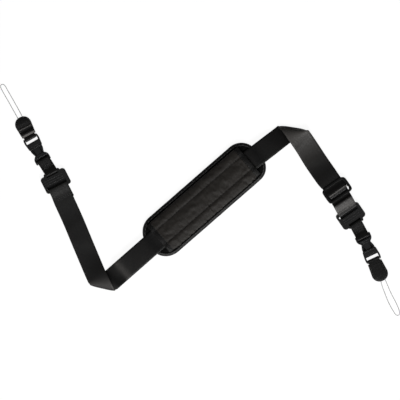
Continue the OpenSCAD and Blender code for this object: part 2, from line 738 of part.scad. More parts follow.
module buckle_socket_left() { at_plug(wide_bar_left, left_headings) buckle_socket(); }

module buckle_plug_right() { at_plug(wide_bar_right, right_headings) buckle_plug(); }

module latch_arm_right_a() { at_plug(wide_bar_right, right_headings) latch_arm(); }

module latch_arm_right_b() { at_plug(wide_bar_right, right_headings) mirror([0, 1, 0]) latch_arm(); }

module buckle_socket_right() { at_plug(wide_bar_right, right_headings) buckle_socket(); }

// ---- Tab, the socket's bar at X = 0 ----
tab_end_r = tab_w / 2;
knot_x = tab_len - tab_end_r;
tab_reach = tab_len + 2;
through = bar_z + 2 * loop_out;
knot_base = bar_z - loop_in + 0.3;
stitch_inset = 2.4;
tab_shoulder = 3.6;
filler_x0 = 7;

// Outline of the tab's flat part in plan, turned by a skew and drawn in by an inset
module tab_outline(skew, inset) {
    x0 = tab_shoulder + inset;
    rotate(skew) polygon(concat([[x0, inset - tab_neck_w / 2], [x0, tab_neck_w / 2 - inset]],
        arc(knot_x, tab_end_r - inset, 90, -90)));
}

// Side view: a fold round the bar, then two plies that lean together
module tab_side() {
    polygon(concat(arc(0, loop_out, 270, 90),
        [[tab_reach, loop_out - tab_drop], [tab_reach, -loop_out]]));
}

module tab(skew) {
    fold_x0 = -loop_out - 1;
    fold_x1 = tab_shoulder + 2;
    color(tab_color) difference() {
        intersection() {
            across(2 * tab_w) tab_side();
            union() {
                linear_extrude(through) tab_outline(skew, 0);
                box(fold_x0, fold_x1, -tab_fold_w / 2, tab_fold_w / 2, 0, through);
            }
        }
        across(2 * tab_w) circle(loop_in);
        across(2 * tab_w) polygon([[0, loop_in - nudge], [filler_x0 + nudge, loop_in - 0.2],
            [filler_x0 + nudge, nudge - loop_in], [0, nudge - loop_in]]);
        tab_pocket(skew);
    }
}

// The space between the tab's two plies
module tab_pocket(skew) {
    intersection() {
        across(2 * tab_w) polygon([[filler_x0, loop_in - 0.2], [tab_reach, loop_in - 0.2 - tab_drop],
            [tab_reach, -loop_in], [filler_x0, -loop_in]]);
        linear_extrude(through) tab_outline(skew, web_t);
    }
}

module tab_filler(skew) {
    half = string_pitch / 2 + 1.5;
    color(foam_color) difference() {
        tab_pocket(skew);
        rotate(skew) box(knot_x - 2, knot_x + 2, -half, half, knot_base, 10);
    }
}

module string_knot(skew) {
    knot_d = string_d * 1.6;
    color(string_color) rotate(skew) translate([knot_x, 0, knot_base + knot_d / 2]) rotate([90, 0, 0])
        cylinder(d = knot_d, h = string_pitch, center = true);
}

module tab_stitching(skew) {
    lean = atan(tab_drop / tab_reach);
    row_y = tab_neck_w / 2 - stitch_inset;
    color(thread_color) translate([0, 0, bar_z + loop_out]) rotate([0, lean, 0]) rotate(skew) {
        for (s = [-1, 1]) stitch_row(tab_shoulder + 3, knot_x, s * row_y, 0);
        for (a = [-60:30:60])
            translate([knot_x, 0, 0]) rotate(a) translate([tab_end_r - stitch_inset, -stitch_len / 2, 0])
                cube([thread_w, stitch_len, thread_h]);
    }
}

left_skew = left_headings[3] - left_headings[2];
right_skew = right_headings[3] - right_headings[2];

module tab_left() { at_tab(wide_bar_left, left_headings) tab(left_skew); }

module tab_filler_left() { at_tab(wide_bar_left, left_headings) tab_filler(left_skew); }

module tab_stitching_left() { at_tab(wide_bar_left, left_headings) tab_stitching(left_skew); }

module string_knot_left() { at_tab(wide_bar_left, left_headings) string_knot(left_skew); }

module string_loop_left() { color(string_color) cord(string_left); }

module tab_right() { at_tab(wide_bar_right, right_headings) tab(right_skew); }

module tab_filler_right() { at_tab(wide_bar_right, right_headings) tab_filler(right_skew); }

module tab_stitching_right() { at_tab(wide_bar_right, right_headings) tab_stitching(right_skew); }

module string_knot_right() { at_tab(wide_bar_right, right_headings) string_knot(right_skew); }

module string_loop_right() { color(string_color) cord(string_right); }

main_webbing();
left_end_stitching();
pad_backing();
pad_foam();
pad_base_panel();
pad_edge_binding();
pad_edge_stitching();
sleeve_lining();
sleeve_foam();
sleeve_cover();
sleeve_hem_left();
sleeve_hem_right();
sleeve_quilting();
adjuster();
adjuster_webbing_end();
adjuster_stitching();
doubled_webbing_top();
doubled_webbing_bottom();
reducer_webbing_loop();
reducer_left();
narrow_webbing_left();
bartack_left();
buckle_plug_left();
latch_arm_left_a();
latch_arm_left_b();
buckle_socket_left();
tab_left();
tab_filler_left();
tab_stitching_left();
string_knot_left();
string_loop_left();
reducer_right();
narrow_webbing_right();
bartack_right();
buckle_plug_right();
latch_arm_right_a();
latch_arm_right_b();
buckle_socket_right();
tab_right();
tab_filler_right();
tab_stitching_right();
string_knot_right();
string_loop_right();
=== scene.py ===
"""Dressed model of a padded strap with a quick-release string loop at each end.

Each sub-assembly is a class.
"""

import json
import logging
import math
from dataclasses import dataclass, field
from enum import Enum
from itertools import accumulate
from typing import Iterable, Sequence

import bmesh
import bpy
from bmesh.types import BMesh, BMVert
from bpy.types import ID, Material, Mesh, Node, NodeSocket, NodeTree, Object
from mathutils import Matrix, Vector
from mathutils.noise import noise


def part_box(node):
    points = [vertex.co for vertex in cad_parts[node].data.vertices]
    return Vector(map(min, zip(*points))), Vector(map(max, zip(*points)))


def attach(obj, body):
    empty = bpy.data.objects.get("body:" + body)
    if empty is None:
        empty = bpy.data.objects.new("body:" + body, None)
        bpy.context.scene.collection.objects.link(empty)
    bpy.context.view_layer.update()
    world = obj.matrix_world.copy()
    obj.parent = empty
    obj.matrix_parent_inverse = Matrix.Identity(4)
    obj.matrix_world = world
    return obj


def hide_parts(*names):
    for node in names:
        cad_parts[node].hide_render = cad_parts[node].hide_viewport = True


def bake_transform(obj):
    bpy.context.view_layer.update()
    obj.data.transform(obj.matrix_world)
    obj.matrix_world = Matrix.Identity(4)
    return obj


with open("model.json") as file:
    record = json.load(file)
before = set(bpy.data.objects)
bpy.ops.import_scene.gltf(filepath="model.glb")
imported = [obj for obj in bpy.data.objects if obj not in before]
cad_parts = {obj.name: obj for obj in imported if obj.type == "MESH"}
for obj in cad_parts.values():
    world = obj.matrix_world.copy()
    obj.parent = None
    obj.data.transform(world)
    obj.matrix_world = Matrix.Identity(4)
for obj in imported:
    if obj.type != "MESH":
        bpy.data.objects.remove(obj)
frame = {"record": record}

MM = 0.001
TABLE_UP = Vector((0, 0, 1))
log = logging.getLogger("strap")

# Heights of webbing round a bar and where it lies on itself
WEB_T = 1.2
BAR_Z = 2.8
BAR_R = 1.4
LOOP_MID = 2.1
LOW_Z = BAR_Z - LOOP_MID
HIGH_Z = BAR_Z + LOOP_MID
WIDE_HALF = 16.0
NARROW_HALF = 10.0
STRING_D = 1.1

# Distances at which points are welded, and the area under which a face is part of a rim
SEAM_WELD = 0.00001
FUSED_WELD = 0.004
RIM_FACE = 0.5

# Angles in degrees past which an edge stays crisp
CRISP = 40.0
TAPE_CRISP = 50.0
WEBBING_CRISP = 60.0

Curve = Sequence[tuple[float, float]]
Outline = Sequence[tuple[float, float, float]]


class Side(Enum):
    """The two ends of the strap."""

    LEFT = "left"
    RIGHT = "right"


def ahead(angle: float) -> Vector:
    """Return the level direction of a heading in degrees."""
    return Vector((math.cos(math.radians(angle)), math.sin(math.radians(angle)), 0))


def heading(x: float, y: float) -> float:
    """Return the heading in degrees of a level direction."""
    return math.degrees(math.atan2(y, x))


def left_of(direction: Vector) -> Vector:
    """Return the level direction to the left of another."""
    return Vector((-direction.y, direction.x, 0))


def smooth(t: float) -> float:
    """Return t eased in and out between 0 and 1."""
    t = min(1.0, max(0.0, t))
    return t * t * (3 - 2 * t)


def bell(x: float, reach: float) -> float:
    """Return a rise that is 1 at nought and fades over a reach to both sides."""
    return math.exp(-((x / reach) ** 2))


def profile(points: Curve, x: float) -> float:
    """Read a curve given by points, easing from each to the next.

    Args:
        points: Pairs of place and value, in order of place.
        x: The place to read at.

    Returns:
        The value there; beyond the ends it is the end's value.
    """
    if x <= points[0][0]:
        return points[0][1]
    for (x0, y0), (x1, y1) in zip(points, points[1:]):
        if x <= x1:
            return y0 + (y1 - y0) * smooth((x - x0) / (x1 - x0))
    return points[-1][1]


def mileage(points: Sequence[Vector]) -> list[float]:
    """Return how far along a line each of its points lies."""
    return list(accumulate(((two - one).length for one, two in zip(points, points[1:])), initial=0.0))


def squarish(count: int, round_x: float, round_y: float) -> list[tuple[float, float]]:
    """Return points round an oval one unit in radius, squarer the smaller its two powers are."""
    turns = [2 * math.pi * i / count for i in range(count)]
    return [(math.copysign(abs(math.cos(a)) ** round_x, math.cos(a)),
             math.copysign(abs(math.sin(a)) ** round_y, math.sin(a))) for a in turns]


def rounded(half_x: float, half_y: float, corners: Sequence[float], inset: float, steps: int,
            gap: float) -> list[Vector]:
    """Return points round a rectangle, anticlockwise from the end of its first edge.

    Args:
        half_x: Half its length.
        half_y: Half its width.
        corners: The radius of each corner.
        inset: How far the points are drawn in.
        steps: How many steps go round a corner.
        gap: The longest distance between points.

    Returns:
        The points.
    """
    points = []
    for (cx, cy, start), r in zip(((1, 1, 0), (-1, 1, 90), (-1, -1, 180), (1, -1, 270)), corners):
        centre = Vector((cx * (half_x - r), cy * (half_y - r), 0))
        points += [centre + ahead(start + 90 * k / steps) * (r - inset) for k in range(steps + 1)]
    dense = []
    for one, two in zip(points, points[1:] + points[:1]):
        count = max(1, round((two - one).length / gap))
        dense += [one.lerp(two, k / count) for k in range(count)]
    return dense


def show(name: str, data: ID) -> Object:
    """Return a new object that shows a mesh, a lamp or a camera."""
    made = bpy.data.objects.new(name, data)
    bpy.context.scene.collection.objects.link(made)
    return made


def settled(bm: BMesh, name: str) -> Mesh:
    """Return a lasting copy of a mesh, which is freed."""
    mesh = bpy.data.meshes.new(name)
    bm.to_mesh(mesh)
    bm.free()
    return mesh


def grid(bm: BMesh, columns: int, rows: int) -> list[tuple[BMVert, int, int]]:
    """Add a grid to a mesh and return its corners, each with its column and row."""
    made = bmesh.ops.create_grid(bm, x_segments=columns, y_segments=rows, size=1.0)["verts"]
    return [(v, round((v.co.x + 1) / 2 * columns), round((v.co.y + 1) / 2 * rows)) for v in made]


def joint(name: str) -> dict:
    """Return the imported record's joint of that name."""
    return next(j for j in frame["record"]["behaviour"]["joints"] if j["name"] == name)


@dataclass(frozen=True)
class Place:
    """Where a sub-assembly sits on the table, and its heading in degrees."""

    origin: Vector
    angle: float

    @classmethod
    def at_hinge(cls, name: str) -> "Place":
        """Return the place of a hinge whose axis lies across the strap."""
        found = joint(name)
        x, y = found["axis"][:2]
        spot = Vector((found["pos_m"][0], found["pos_m"][1], 0)) / MM
        return cls(spot, heading(-y, x))

    @property
    def out(self) -> Vector:
        """Return the direction of the heading."""
        return ahead(self.angle)

    def spot(self, x: float, y: float = 0.0) -> Vector:
        """Return the point on the table at local x, y."""
        return self.origin + self.out * x + left_of(self.out) * y

    def matrix(self) -> Matrix:
        """Return the transform from this place's own axes."""
        return Matrix.Translation(self.origin) @ Matrix.Rotation(math.radians(self.angle), 4, "Z")


# ---- Materials ----
class NodeTable:
    """A tree of shader nodes."""

    def __init__(self, tree: NodeTree) -> None:
        """Take up a tree."""
        self.tree = tree

    def put(self, target: NodeSocket, value: object) -> None:
        """Link a socket to an input, or set the input to a plain value."""
        if isinstance(value, NodeSocket):
            self.tree.links.new(value, target)
        else:
            target.default_value = value

    def fill(self, node: Node, values: Iterable[object]) -> Node:
        """Put values or sockets on a node's inputs in order."""
        for target, value in zip(node.inputs, values):
            self.put(target, value)
        return node

    def add(self, kind: str, settings: dict | None = None, **inputs: object) -> Node:
        """Add a node.

        Args:
            kind: The node's type, without its ShaderNode prefix.
            settings: The node's own properties.
            **inputs: Values or sockets for its inputs, underscores standing for spaces.

        Returns:
            The node.
        """
        node = self.tree.nodes.new("ShaderNode" + kind)
        for key, value in (settings or {}).items():
            setattr(node, key, value)
        for key, value in inputs.items():
            self.put(node.inputs[key.replace("_", " ")], value)
        return node

    def math(self, operation: str, *values: object) -> NodeSocket:
        """Return the result of a sum on numbers or sockets."""
        return self.fill(self.add("Math", {"operation": operation}), values).outputs[0]

    def span(self, value: NodeSocket, low: float, high: float, to_low: float, to_high: float) -> NodeSocket:
        """Return a value carried from one range to another."""
        return self.add("MapRange", Value=value, From_Min=low, From_Max=high, To_Min=to_low,
                        To_Max=to_high).outputs[0]


class NodeSheet(NodeTable):
    """The nodes of one material."""

    def __init__(self, name: str) -> None:
        """Start a material with its one shader."""
        self.material: Material = bpy.data.materials.new(name)
        self.material.use_nodes = True
        super().__init__(self.material.node_tree)
        self.shader = self.tree.nodes["Principled BSDF"]

    def blend(self, factor: object, first: object, second: object) -> NodeSocket:
        """Return a colour between two others."""
        node = self.add("Mix", {"data_type": "RGBA"})
        for target, value in ((0, factor), (6, first), (7, second)):
            self.put(node.inputs[target], value)
        return node.outputs[2]

    def coords(self, kind: str = "Object") -> NodeSocket:
        """Return one kind of texture coordinates."""
        return self.add("TexCoord").outputs[kind]

    def noise(self, vector: NodeSocket, scale: float, detail: float = 3.0) -> NodeSocket:
        """Return a noise factor about half at the given scale per metre."""
        return self.add("TexNoise", Vector=vector, Scale=scale, Detail=detail).outputs[0]

    def wave(self, value: NodeSocket, length: float, operation: str = "SINE") -> NodeSocket:
        """Return a wave of the given length along a value."""
        return self.math(operation, self.math("MULTIPLY", value, 2 * math.pi / length))

    def mixture(self, *parts: tuple[NodeSocket, float]) -> NodeSocket:
        """Return two values added in their shares."""
        return self.math("ADD", *(self.math("MULTIPLY", value, share) for value, share in parts))

    def stored(self, name: str) -> NodeSocket:
        """Return the numbers that an attribute holds."""
        return self.add("Attribute", {"attribute_name": name}).outputs[2]

    def split(self, vector: NodeSocket) -> list[NodeSocket]:
        """Return a vector's parts."""
        return list(self.add("SeparateXYZ", Vector=vector).outputs)

    def bump(self, height: NodeSocket, distance: float, strength: float = 0.6) -> None:
        """Give the shader a bump of that height in metres."""
        node = self.add("Bump", Height=height, Distance=distance, Strength=strength)
        self.put(self.shader.inputs["Normal"], node.outputs[0])

    def dress(self, **inputs: object) -> Material:
        """Set the shader's inputs and return the material."""
        for key, value in inputs.items():
            self.put(self.shader.inputs[key.replace("_", " ")], value)
        return self.material


def grey(value: float, warmth: float = 0.0) -> tuple[float, float, float, float]:
    """Return a grey as a colour, a little red where warmth is above nought."""
    return (value * (1 + warmth), value, value * (1 - warmth), 1.0)


@dataclass(frozen=True)
class WebbingFinish:
    """Tightly woven nylon webbing, dull black, lightened by painted highlights and darkened by painted shade
    along parts of the tape.
    """

    name: str
    dark: float = 0.004
    light: float = 0.0085
    # The colour towards which a painted highlight lightens the webbing.
    painted_highlight: float = 0.045
    rib: float = 0.0013
    column: float = 0.0022
    shiny: float = 0.22

    def material(self) -> Material:
        """Return the webbing's material, its weave running along the tape's own UV map."""
        sheet = NodeSheet(self.name)
        across, along = sheet.split(sheet.coords("UV"))[:2]
        lean = sheet.math("PINGPONG", across, self.column)
        ribs = sheet.span(sheet.wave(sheet.math("ADD", along, lean), self.rib), -1, 1, 0, 1)
        cords = sheet.span(sheet.wave(across, self.column, "COSINE"), -1, 1, 0.35, 1)
        height = sheet.math("MULTIPLY", ribs, cords)
        fine = sheet.noise(sheet.coords(), 900, 2)
        tone = sheet.mixture((height, 0.55), (sheet.noise(sheet.coords(), 28), 0.6))
        colour = sheet.blend(tone, grey(self.dark), grey(self.light, 0.06))
        # Painted light: the tape's attribute lightens the colour towards the painted highlight, and below
        # nought darkens it towards near black as painted shade.
        shine = sheet.stored("shine")
        colour = sheet.blend(shine, colour, grey(self.painted_highlight, 0.06))
        colour = sheet.blend(sheet.math("MULTIPLY", shine, -1), colour, grey(0.0012))
        rough = sheet.span(sheet.math("ADD", fine, height), 0, 2, 0.46, 0.36)
        sheet.bump(sheet.math("ADD", height, sheet.math("MULTIPLY", fine, 0.4)), 0.00012)
        return sheet.dress(Base_Color=colour, Roughness=rough, Specular_IOR_Level=self.shiny,
                           Sheen_Weight=0.02, Sheen_Roughness=0.5)


@dataclass(frozen=True)
class ClothFinish:
    """A plain-woven or knitted cloth laid out flat on the object."""

    name: str
    dark: float
    light: float
    thread: float = 0.0009
    warmth: float = 0.05
    rough: float = 0.6
    shiny: float = 0.18
    sheen: float = 0.03
    depth: float = 0.00012
    turn: float = 41.1

    def material(self) -> Material:
        """Return the cloth's material, its threads running along the pad."""
        sheet = NodeSheet(self.name)
        rotation = (0, 0, -math.radians(self.turn))
        turned = sheet.add("Mapping", Vector=sheet.coords(), Rotation=rotation).outputs[0]
        waves = [sheet.wave(part, self.thread) for part in sheet.split(turned)[:2]]
        weave = sheet.span(sheet.math("MULTIPLY", *waves), -1, 1, 0, 1)
        fine = sheet.noise(turned, 1400, 2)
        tone = sheet.mixture((weave, 0.4), (sheet.math("ADD", sheet.noise(turned, 22, 4), fine), 0.4))
        colour = sheet.blend(tone, grey(self.dark, self.warmth), grey(self.light, self.warmth))
        rough = sheet.span(fine, 0, 1, self.rough + 0.08, self.rough - 0.08)
        sheet.bump(sheet.math("ADD", weave, sheet.math("MULTIPLY", fine, 0.6)), self.depth)
        return sheet.dress(Base_Color=colour, Roughness=rough, Specular_IOR_Level=self.shiny,
                           Sheen_Weight=self.sheen, Sheen_Roughness=0.45)


@dataclass(frozen=True)
class TapeFinish:
    """Grosgrain binding tape, ribbed across its own length."""

    name: str
    dark: float = 0.0025
    light: float = 0.008
    rib: float = 0.0011
    shiny: float = 0.17

    def material(self) -> Material:
        """Return the binding's material, its ribs crossing the tape's own UV map."""
        sheet = NodeSheet(self.name)
        height = sheet.span(sheet.wave(sheet.split(sheet.coords("UV"))[1], self.rib), -1, 1, 0, 1)
        tone = sheet.mixture((height, 0.4), (sheet.noise(sheet.coords(), 60, 4), 0.7))
        colour = sheet.blend(tone, grey(self.dark, 0.03), grey(self.light, 0.03))
        sheet.bump(sheet.math("ADD", height, sheet.noise(sheet.coords(), 1500, 2)), 0.00014)
        return sheet.dress(Base_Color=colour, Roughness=0.48, Specular_IOR_Level=self.shiny,
                           Sheen_Weight=0.02, Sheen_Roughness=0.4)


@dataclass(frozen=True)
class PlasticFinish:
    """Moulded acetal, black, with a fine grain and edges polished by handling."""

    name: str
    tone: float = 0.0055
    cool: float = 0.0
    rough: float = 0.42
    shiny: float = 0.25

    def material(self) -> Material:
        """Return the moulding's material."""
        sheet = NodeSheet(self.name)
        grain = sheet.noise(sheet.coords(), 2600, 2)
        scuffs = sheet.add("TexNoise", Vector=sheet.coords(), Scale=700, Detail=6, Distortion=1.5)
        marks = sheet.span(scuffs.outputs[0], 0.62, 0.75, 0, 1)
        dark, light, rubbed = (grey(self.tone * share, -self.cool) for share in (0.75, 1.3, 3))
        worn = sheet.stored("worn")
        rub = sheet.math("MINIMUM", sheet.mixture((worn, 0.25), (marks, 0.2)), 1.0)
        colour = sheet.blend(rub, sheet.blend(sheet.noise(sheet.coords(), 90), dark, light), rubbed)
        rough = sheet.span(sheet.math("SUBTRACT", grain, sheet.math("MULTIPLY", worn, 0.5)),
                           0, 1, self.rough, self.rough + 0.14)
        sheet.bump(grain, 0.00003, 0.5)
        return sheet.dress(Base_Color=colour, Roughness=rough, Specular_IOR_Level=self.shiny)


@dataclass(frozen=True)
class ThreadFinish:
    """Twisted thread or braided string, its strands following the piece's own UV map."""

    name: str
    dark: float = 0.012
    light: float = 0.04
    twist: float = 0.0007
    round_trip: float = 0.0016
    rough: float = 0.55

    def material(self) -> Material:
        """Return the thread's material."""
        sheet = NodeSheet(self.name)
        across, along = sheet.split(sheet.coords("UV"))[:2]
        turn = sheet.math("MULTIPLY", across, 2 * math.pi / self.round_trip * 2)
        run = sheet.math("MULTIPLY", along, 2 * math.pi / self.twist)
        strands = [sheet.math("SINE", sheet.math(lay, run, turn)) for lay in ("ADD", "SUBTRACT")]
        height = sheet.span(sheet.math("MAXIMUM", *strands), -1, 1, 0, 1)
        fine = sheet.noise(sheet.coords(), 2500, 2)
        tone = sheet.math("MULTIPLY", sheet.math("ADD", height, fine), 0.5)
        sheet.bump(height, 0.0001)
        return sheet.dress(Base_Color=sheet.blend(tone, grey(self.dark), grey(self.light)),
                           Roughness=self.rough, Specular_IOR_Level=0.4, Sheen_Weight=0.15)


class Finishes:
    """Every material, made once."""

    def __init__(self) -> None:
        """Make the materials."""
        self.webbing = WebbingFinish("webbing_wide").material()
        self.narrow = WebbingFinish("webbing_narrow", rib=0.0011, column=0.0018, dark=0.0022, light=0.0055,
                                    shiny=0.13).material()
        self.cover = ClothFinish("pad_cover_nylon", 0.0078, 0.0147, warmth=0.15).material()
        self.lining = ClothFinish("pad_lining_mesh", 0.0012, 0.003, thread=0.0017, warmth=0.0,
                                  depth=0.00015, rough=0.7, shiny=0.04, sheen=0.0).material()
        self.binding = TapeFinish("binding_grosgrain").material()
        self.hem = TapeFinish("hem_grosgrain", light=0.007, shiny=0.12).material()
        # The tab's painted highlight is lighter than the webbing's.
        self.tab = WebbingFinish("tab_webbing", rib=0.001, column=0.0016, dark=0.003, light=0.007,
                                 painted_highlight=0.07, shiny=0.18).material()
        self.plastic = PlasticFinish("hardware_acetal").material()
        self.frame = PlasticFinish("adjuster_acetal", tone=0.0025, shiny=0.14).material()
        self.latch = PlasticFinish("latch_acetal", tone=0.007, cool=0.06, rough=0.36).material()
        self.thread = ThreadFinish("black_thread").material()
        self.dull_thread = ThreadFinish("dull_thread", 0.001, 0.003).material()
        self.string = ThreadFinish("braided_string", 0.2, 0.42, twist=0.0009, round_trip=0.0035,
                                   rough=0.6).material()


# ---- Mesh tools ----
@dataclass
class Lofted:
    """Rings of points joined into a skin, with a share of painted light at each ring, painted shade where
    below nought.
    """

    rings: list[list[Vector]]
    closed_path: bool = False
    shine: list[float] | None = None

    def mesh(self) -> BMesh:
        """Return a new mesh of the skin."""
        bm = bmesh.new()
        self.add_to(bm)
        return bm

    def add_to(self, bm: BMesh) -> None:
        """Lay a grid over the rings, weld its seams and close its ends."""
        rows, cols = len(self.rings), len(self.rings[0])
        lines = rows + self.closed_path
        uv_layer = bm.loops.layers.uv.verify()
        # Each point keeps its ring's share of painted light or painted shade.
        shine = bm.verts.layers.float.get("shine") or bm.verts.layers.float.new("shine")
        middles = [sum(ring, Vector()) / len(ring) for ring in self.rings]
        run = mileage([middles[j % rows] for j in range(lines)])
        ring = self.rings[rows // 2]
        girth = mileage([*ring, ring[0]])
        place = {}
        for vert, i, j in grid(bm, cols, lines - 1):
            place[vert] = (girth[i] * MM, run[j] * MM)
            vert.co = self.rings[j % rows][i % cols]
            vert[shine] = self.shine[j % rows] if self.shine else 0.0
        for face in {f for v in place for f in v.link_faces}:
            for loop in face.loops:
                loop[uv_layer].uv = place[loop.vert]
        bmesh.ops.remove_doubles(bm, verts=list(place), dist=SEAM_WELD)
        bmesh.ops.holes_fill(bm, edges=[e for e in bm.edges if e.is_boundary], sides=0)


@dataclass
class Station:
    """One place along a tape: its middle, half its width, whether it stays put, and how its edges bow."""

    point: Vector
    half: Vector
    fixed: bool = False
    mark: str = ""
    bow: Vector = field(default_factory=Vector)

    def between(self, other: "Station", t: float) -> "Station":
        """Return the station a share of the way to another."""
        mark = self.mark if t == 0 else ""
        return Station(self.point.lerp(other.point, t), self.half.lerp(other.half, t),
                       self.fixed and (t == 0 or other.fixed), mark, self.bow.lerp(other.bow, t))

    def eased(self, before: "Station", after: "Station") -> "Station":
        """Return the station drawn towards its neighbours."""
        point, half, bow = ((one + two * 2 + three) / 4 for one, two, three in
                            zip((before.point, before.half, before.bow), (self.point, self.half, self.bow),
                                (after.point, after.half, after.bow)))
        return Station(point, half, False, self.mark, bow)


@dataclass(frozen=True)
class Swell:
    """A smooth rise in a tape's height or in its painted light, at a distance past one of its marks."""

    mark: str
    at: float
    reach: float
    strength: float
    skew: float = 0.0

    def share(self, marks: dict[str, float], s: float, a: float = 0.0) -> float:
        """Return what it adds at a distance along the tape and a share of its half width."""
        return self.strength * bell(s - marks[self.mark] - self.at - self.skew * a, self.reach)


def level(point: Vector, z: float, direction: Vector, up: int = 1, half: float = WIDE_HALF,
          mark: str = "", fixed: bool = False, roll: float = 0.0, aside: float = 0.0) -> Station:
    """Return a station of a tape that runs level in one direction.

    Args:
        point: Its place on the table.
        z: Its height.
        direction: The way the tape runs there.
        up: 1 where the tape's face is up, -1 where its back is.
        half: Half the tape's width.
        mark: A name for ripples to be measured from.
        fixed: Whether it stays put when the tape is eased.
        roll: The degrees by which its left edge is lifted.
        aside: How far it lies to the left of the place.

    Returns:
        The station.
    """
    left = left_of(direction).normalized()
    middle = Vector((point.x, point.y, z)) + left * aside
    lean = math.radians(roll)
    return Station(middle, (left * math.cos(lean) + TABLE_UP * math.sin(lean)) * (up * half), fixed, mark)


def half_turn(point: Vector, z: float, out: Vector, half: Vector, up: int, radius: float,
              mark: str = "", bow: float = 0.0) -> list[Station]:
    """Return the stations of a tape that turns back on itself.

    Args:
        point: The turn's centre on the table.
        z: The height of the ply it starts from.
        out: The direction that the turn bulges in.
        half: From the tape's middle to its left edge.
        up: 1 to turn upwards, -1 to turn down.
        radius: The radius of the tape's middle.
        mark: A name for the last station.
        bow: How far the turn's ends are drawn in.

    Returns:
        The stations, all fixed.
    """
    steps = 12
    made = []
    for k in range(steps + 1):
        a = math.pi * k / steps
        spot = Vector((point.x, point.y, z)) + out * (radius * math.sin(a))
        spot.z += up * radius * (1 - math.cos(a))
        made.append(Station(spot, half.copy(), True, mark if k == steps else "", out * -bow))
    return made


@dataclass
class Tape:
    """Flat webbing that follows a row of stations."""

    stations: list[Station]
    thickness: float = WEB_T
    step: float = 2.5
    ease: int = 6
    crown: float = 0.0
    closed: bool = False
    ripples: Sequence[Swell] = ()
    # Stretches where highlights or shade are painted into the tape's colour.
    painted_light_swells: Sequence[Swell] = ()
    columns: int = 12
    flat: float = 0.96
    edge: float = 0.988
    marks: dict[str, float] = field(default_factory=dict)
    rows: dict[str, int] = field(default_factory=dict)

    def dense(self) -> list[Station]:
        """Return stations a step apart, eased where they may be."""
        made: list[Station] = []
        line = [*self.stations, self.stations[0]] if self.closed else self.stations
        for one, two in zip(line, line[1:]):
            count = max(1, round((two.point - one.point).length / self.step))
            made += [one.between(two, k / count) for k in range(count)]
        if not self.closed:
            made.append(self.stations[-1])
        n = len(made)
        for _ in range(self.ease):
            made = [here if here.fixed or (not self.closed and i in (0, n - 1))
                    else here.eased(made[i - 1], made[(i + 1) % n]) for i, here in enumerate(made)]
        return made

    def section(self) -> list[tuple[float, float]]:
        """Return the rounded outline of the tape's end as shares of its half width and heights."""
        h = self.thickness / 2
        half = [(-self.flat + 2 * self.flat * k / self.columns, h) for k in range(self.columns + 1)]
        half += [(self.edge, h * 0.6), (1.0, 0.0), (self.edge, -h * 0.6)]
        return half + [(-a, -b) for a, b in half]

    def rings(self) -> tuple[list[list[Vector]], list[float]]:
        """Return the tape's rings of points and the painted light or painted shade at each."""
        line = self.dense()
        n = len(line)
        run = mileage([station.point for station in line])
        for i, station in enumerate(line):
            if station.mark:
                self.marks[station.mark] = run[i]
                self.rows[station.mark] = i
        section = self.section()
        rings, shine = [], []
        for i, station in enumerate(line):
            last = (i + 1) % n if self.closed else min(i + 1, n - 1)
            first = i - 1 if self.closed else max(i - 1, 0)
            along = (line[last].point - line[first].point).normalized()
            normal = along.cross(station.half).normalized()
            ring = []
            for a, b in section:
                lift = self.crown * (1 - a * a)
                spot = station.point + station.half * a + station.bow * a ** 4 + normal * (b + lift)
                spot.z += sum(ripple.share(self.marks, run[i], a) for ripple in self.ripples)
                ring.append(spot)
            rings.append(ring)
            # Painted light at this ring: a painted highlight above nought, painted shade below.
            shine.append(max(-1.0, min(1.0, sum(glow.share(self.marks, run[i]) for glow in self.painted_light_swells))))
        return rings, shine

    def mesh(self) -> BMesh:
        """Return a new mesh of the whole tape."""
        rings, shine = self.rings()
        return Lofted(rings, self.closed, shine).mesh()


def pour(part: BMesh, bm: BMesh) -> None:
    """Add one mesh to another and free it."""
    mesh = settled(part, "pour")
    bm.from_mesh(mesh)
    bpy.data.meshes.remove(mesh)


def rod(bm: BMesh, place: Vector, length: float, radius: float, segments: int = 20) -> None:
    """Add a round bar that lies across the strap."""
    made = bmesh.ops.create_cone(bm, cap_ends=True, segments=segments, radius1=radius,
                                 radius2=radius, depth=length)["verts"]
    turn = Matrix.Translation(place) @ Matrix.Rotation(math.radians(90), 4, "X")
    bmesh.ops.transform(bm, verts=made, matrix=turn)


def finish(name: str, bm: BMesh, material: Material, place: Place | None = None,
           sharp: float = CRISP) -> Object:
    """Make an object of a mesh.

    Args:
        name: The piece's name.
        bm: The mesh in millimetres, which is freed.
        material: Its one material.
        place: The place whose axes the mesh was made in, if not the frame's.
        sharp: The angle in degrees past which an edge stays crisp.

    Returns:
        The object, at the origin, with its place in its mesh.
    """
    if place:
        bmesh.ops.transform(bm, matrix=place.matrix(), verts=bm.verts)
    bmesh.ops.recalc_face_normals(bm, faces=bm.faces)
    bmesh.ops.scale(bm, vec=(MM, MM, MM), verts=bm.verts)
    mesh = settled(bm, name)
    mesh.materials.append(material)
    mesh.shade_smooth()
    mesh.set_sharp_from_angle(angle=math.radians(sharp))
    log.info("made %s with %d faces", name, len(mesh.polygons))
    return show(name, mesh)


def fix(piece: Object, body: str, slot: str, *nodes: str) -> Object:
    """Let a piece ride on a body and stand for CAD nodes."""
    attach(piece, body)
    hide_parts(*nodes)
    return piece


def make(name: str, bm: BMesh, material: Material, body: str, slot: str, nodes: str,
         place: Place | None = None, sharp: float = CRISP) -> Object:
    """Finish a piece and fix it, its nodes' names being parted by spaces."""
    return fix(finish(name, bm, material, place, sharp), body, slot, *nodes.split())


def soften(piece: Object, applied: bool = True) -> None:
    """Subdivide a piece once."""
    modifier = piece.modifiers.new("rounding", "SUBSURF")
    modifier.levels = modifier.render_levels = 1
    if applied:
        evaluated(piece)


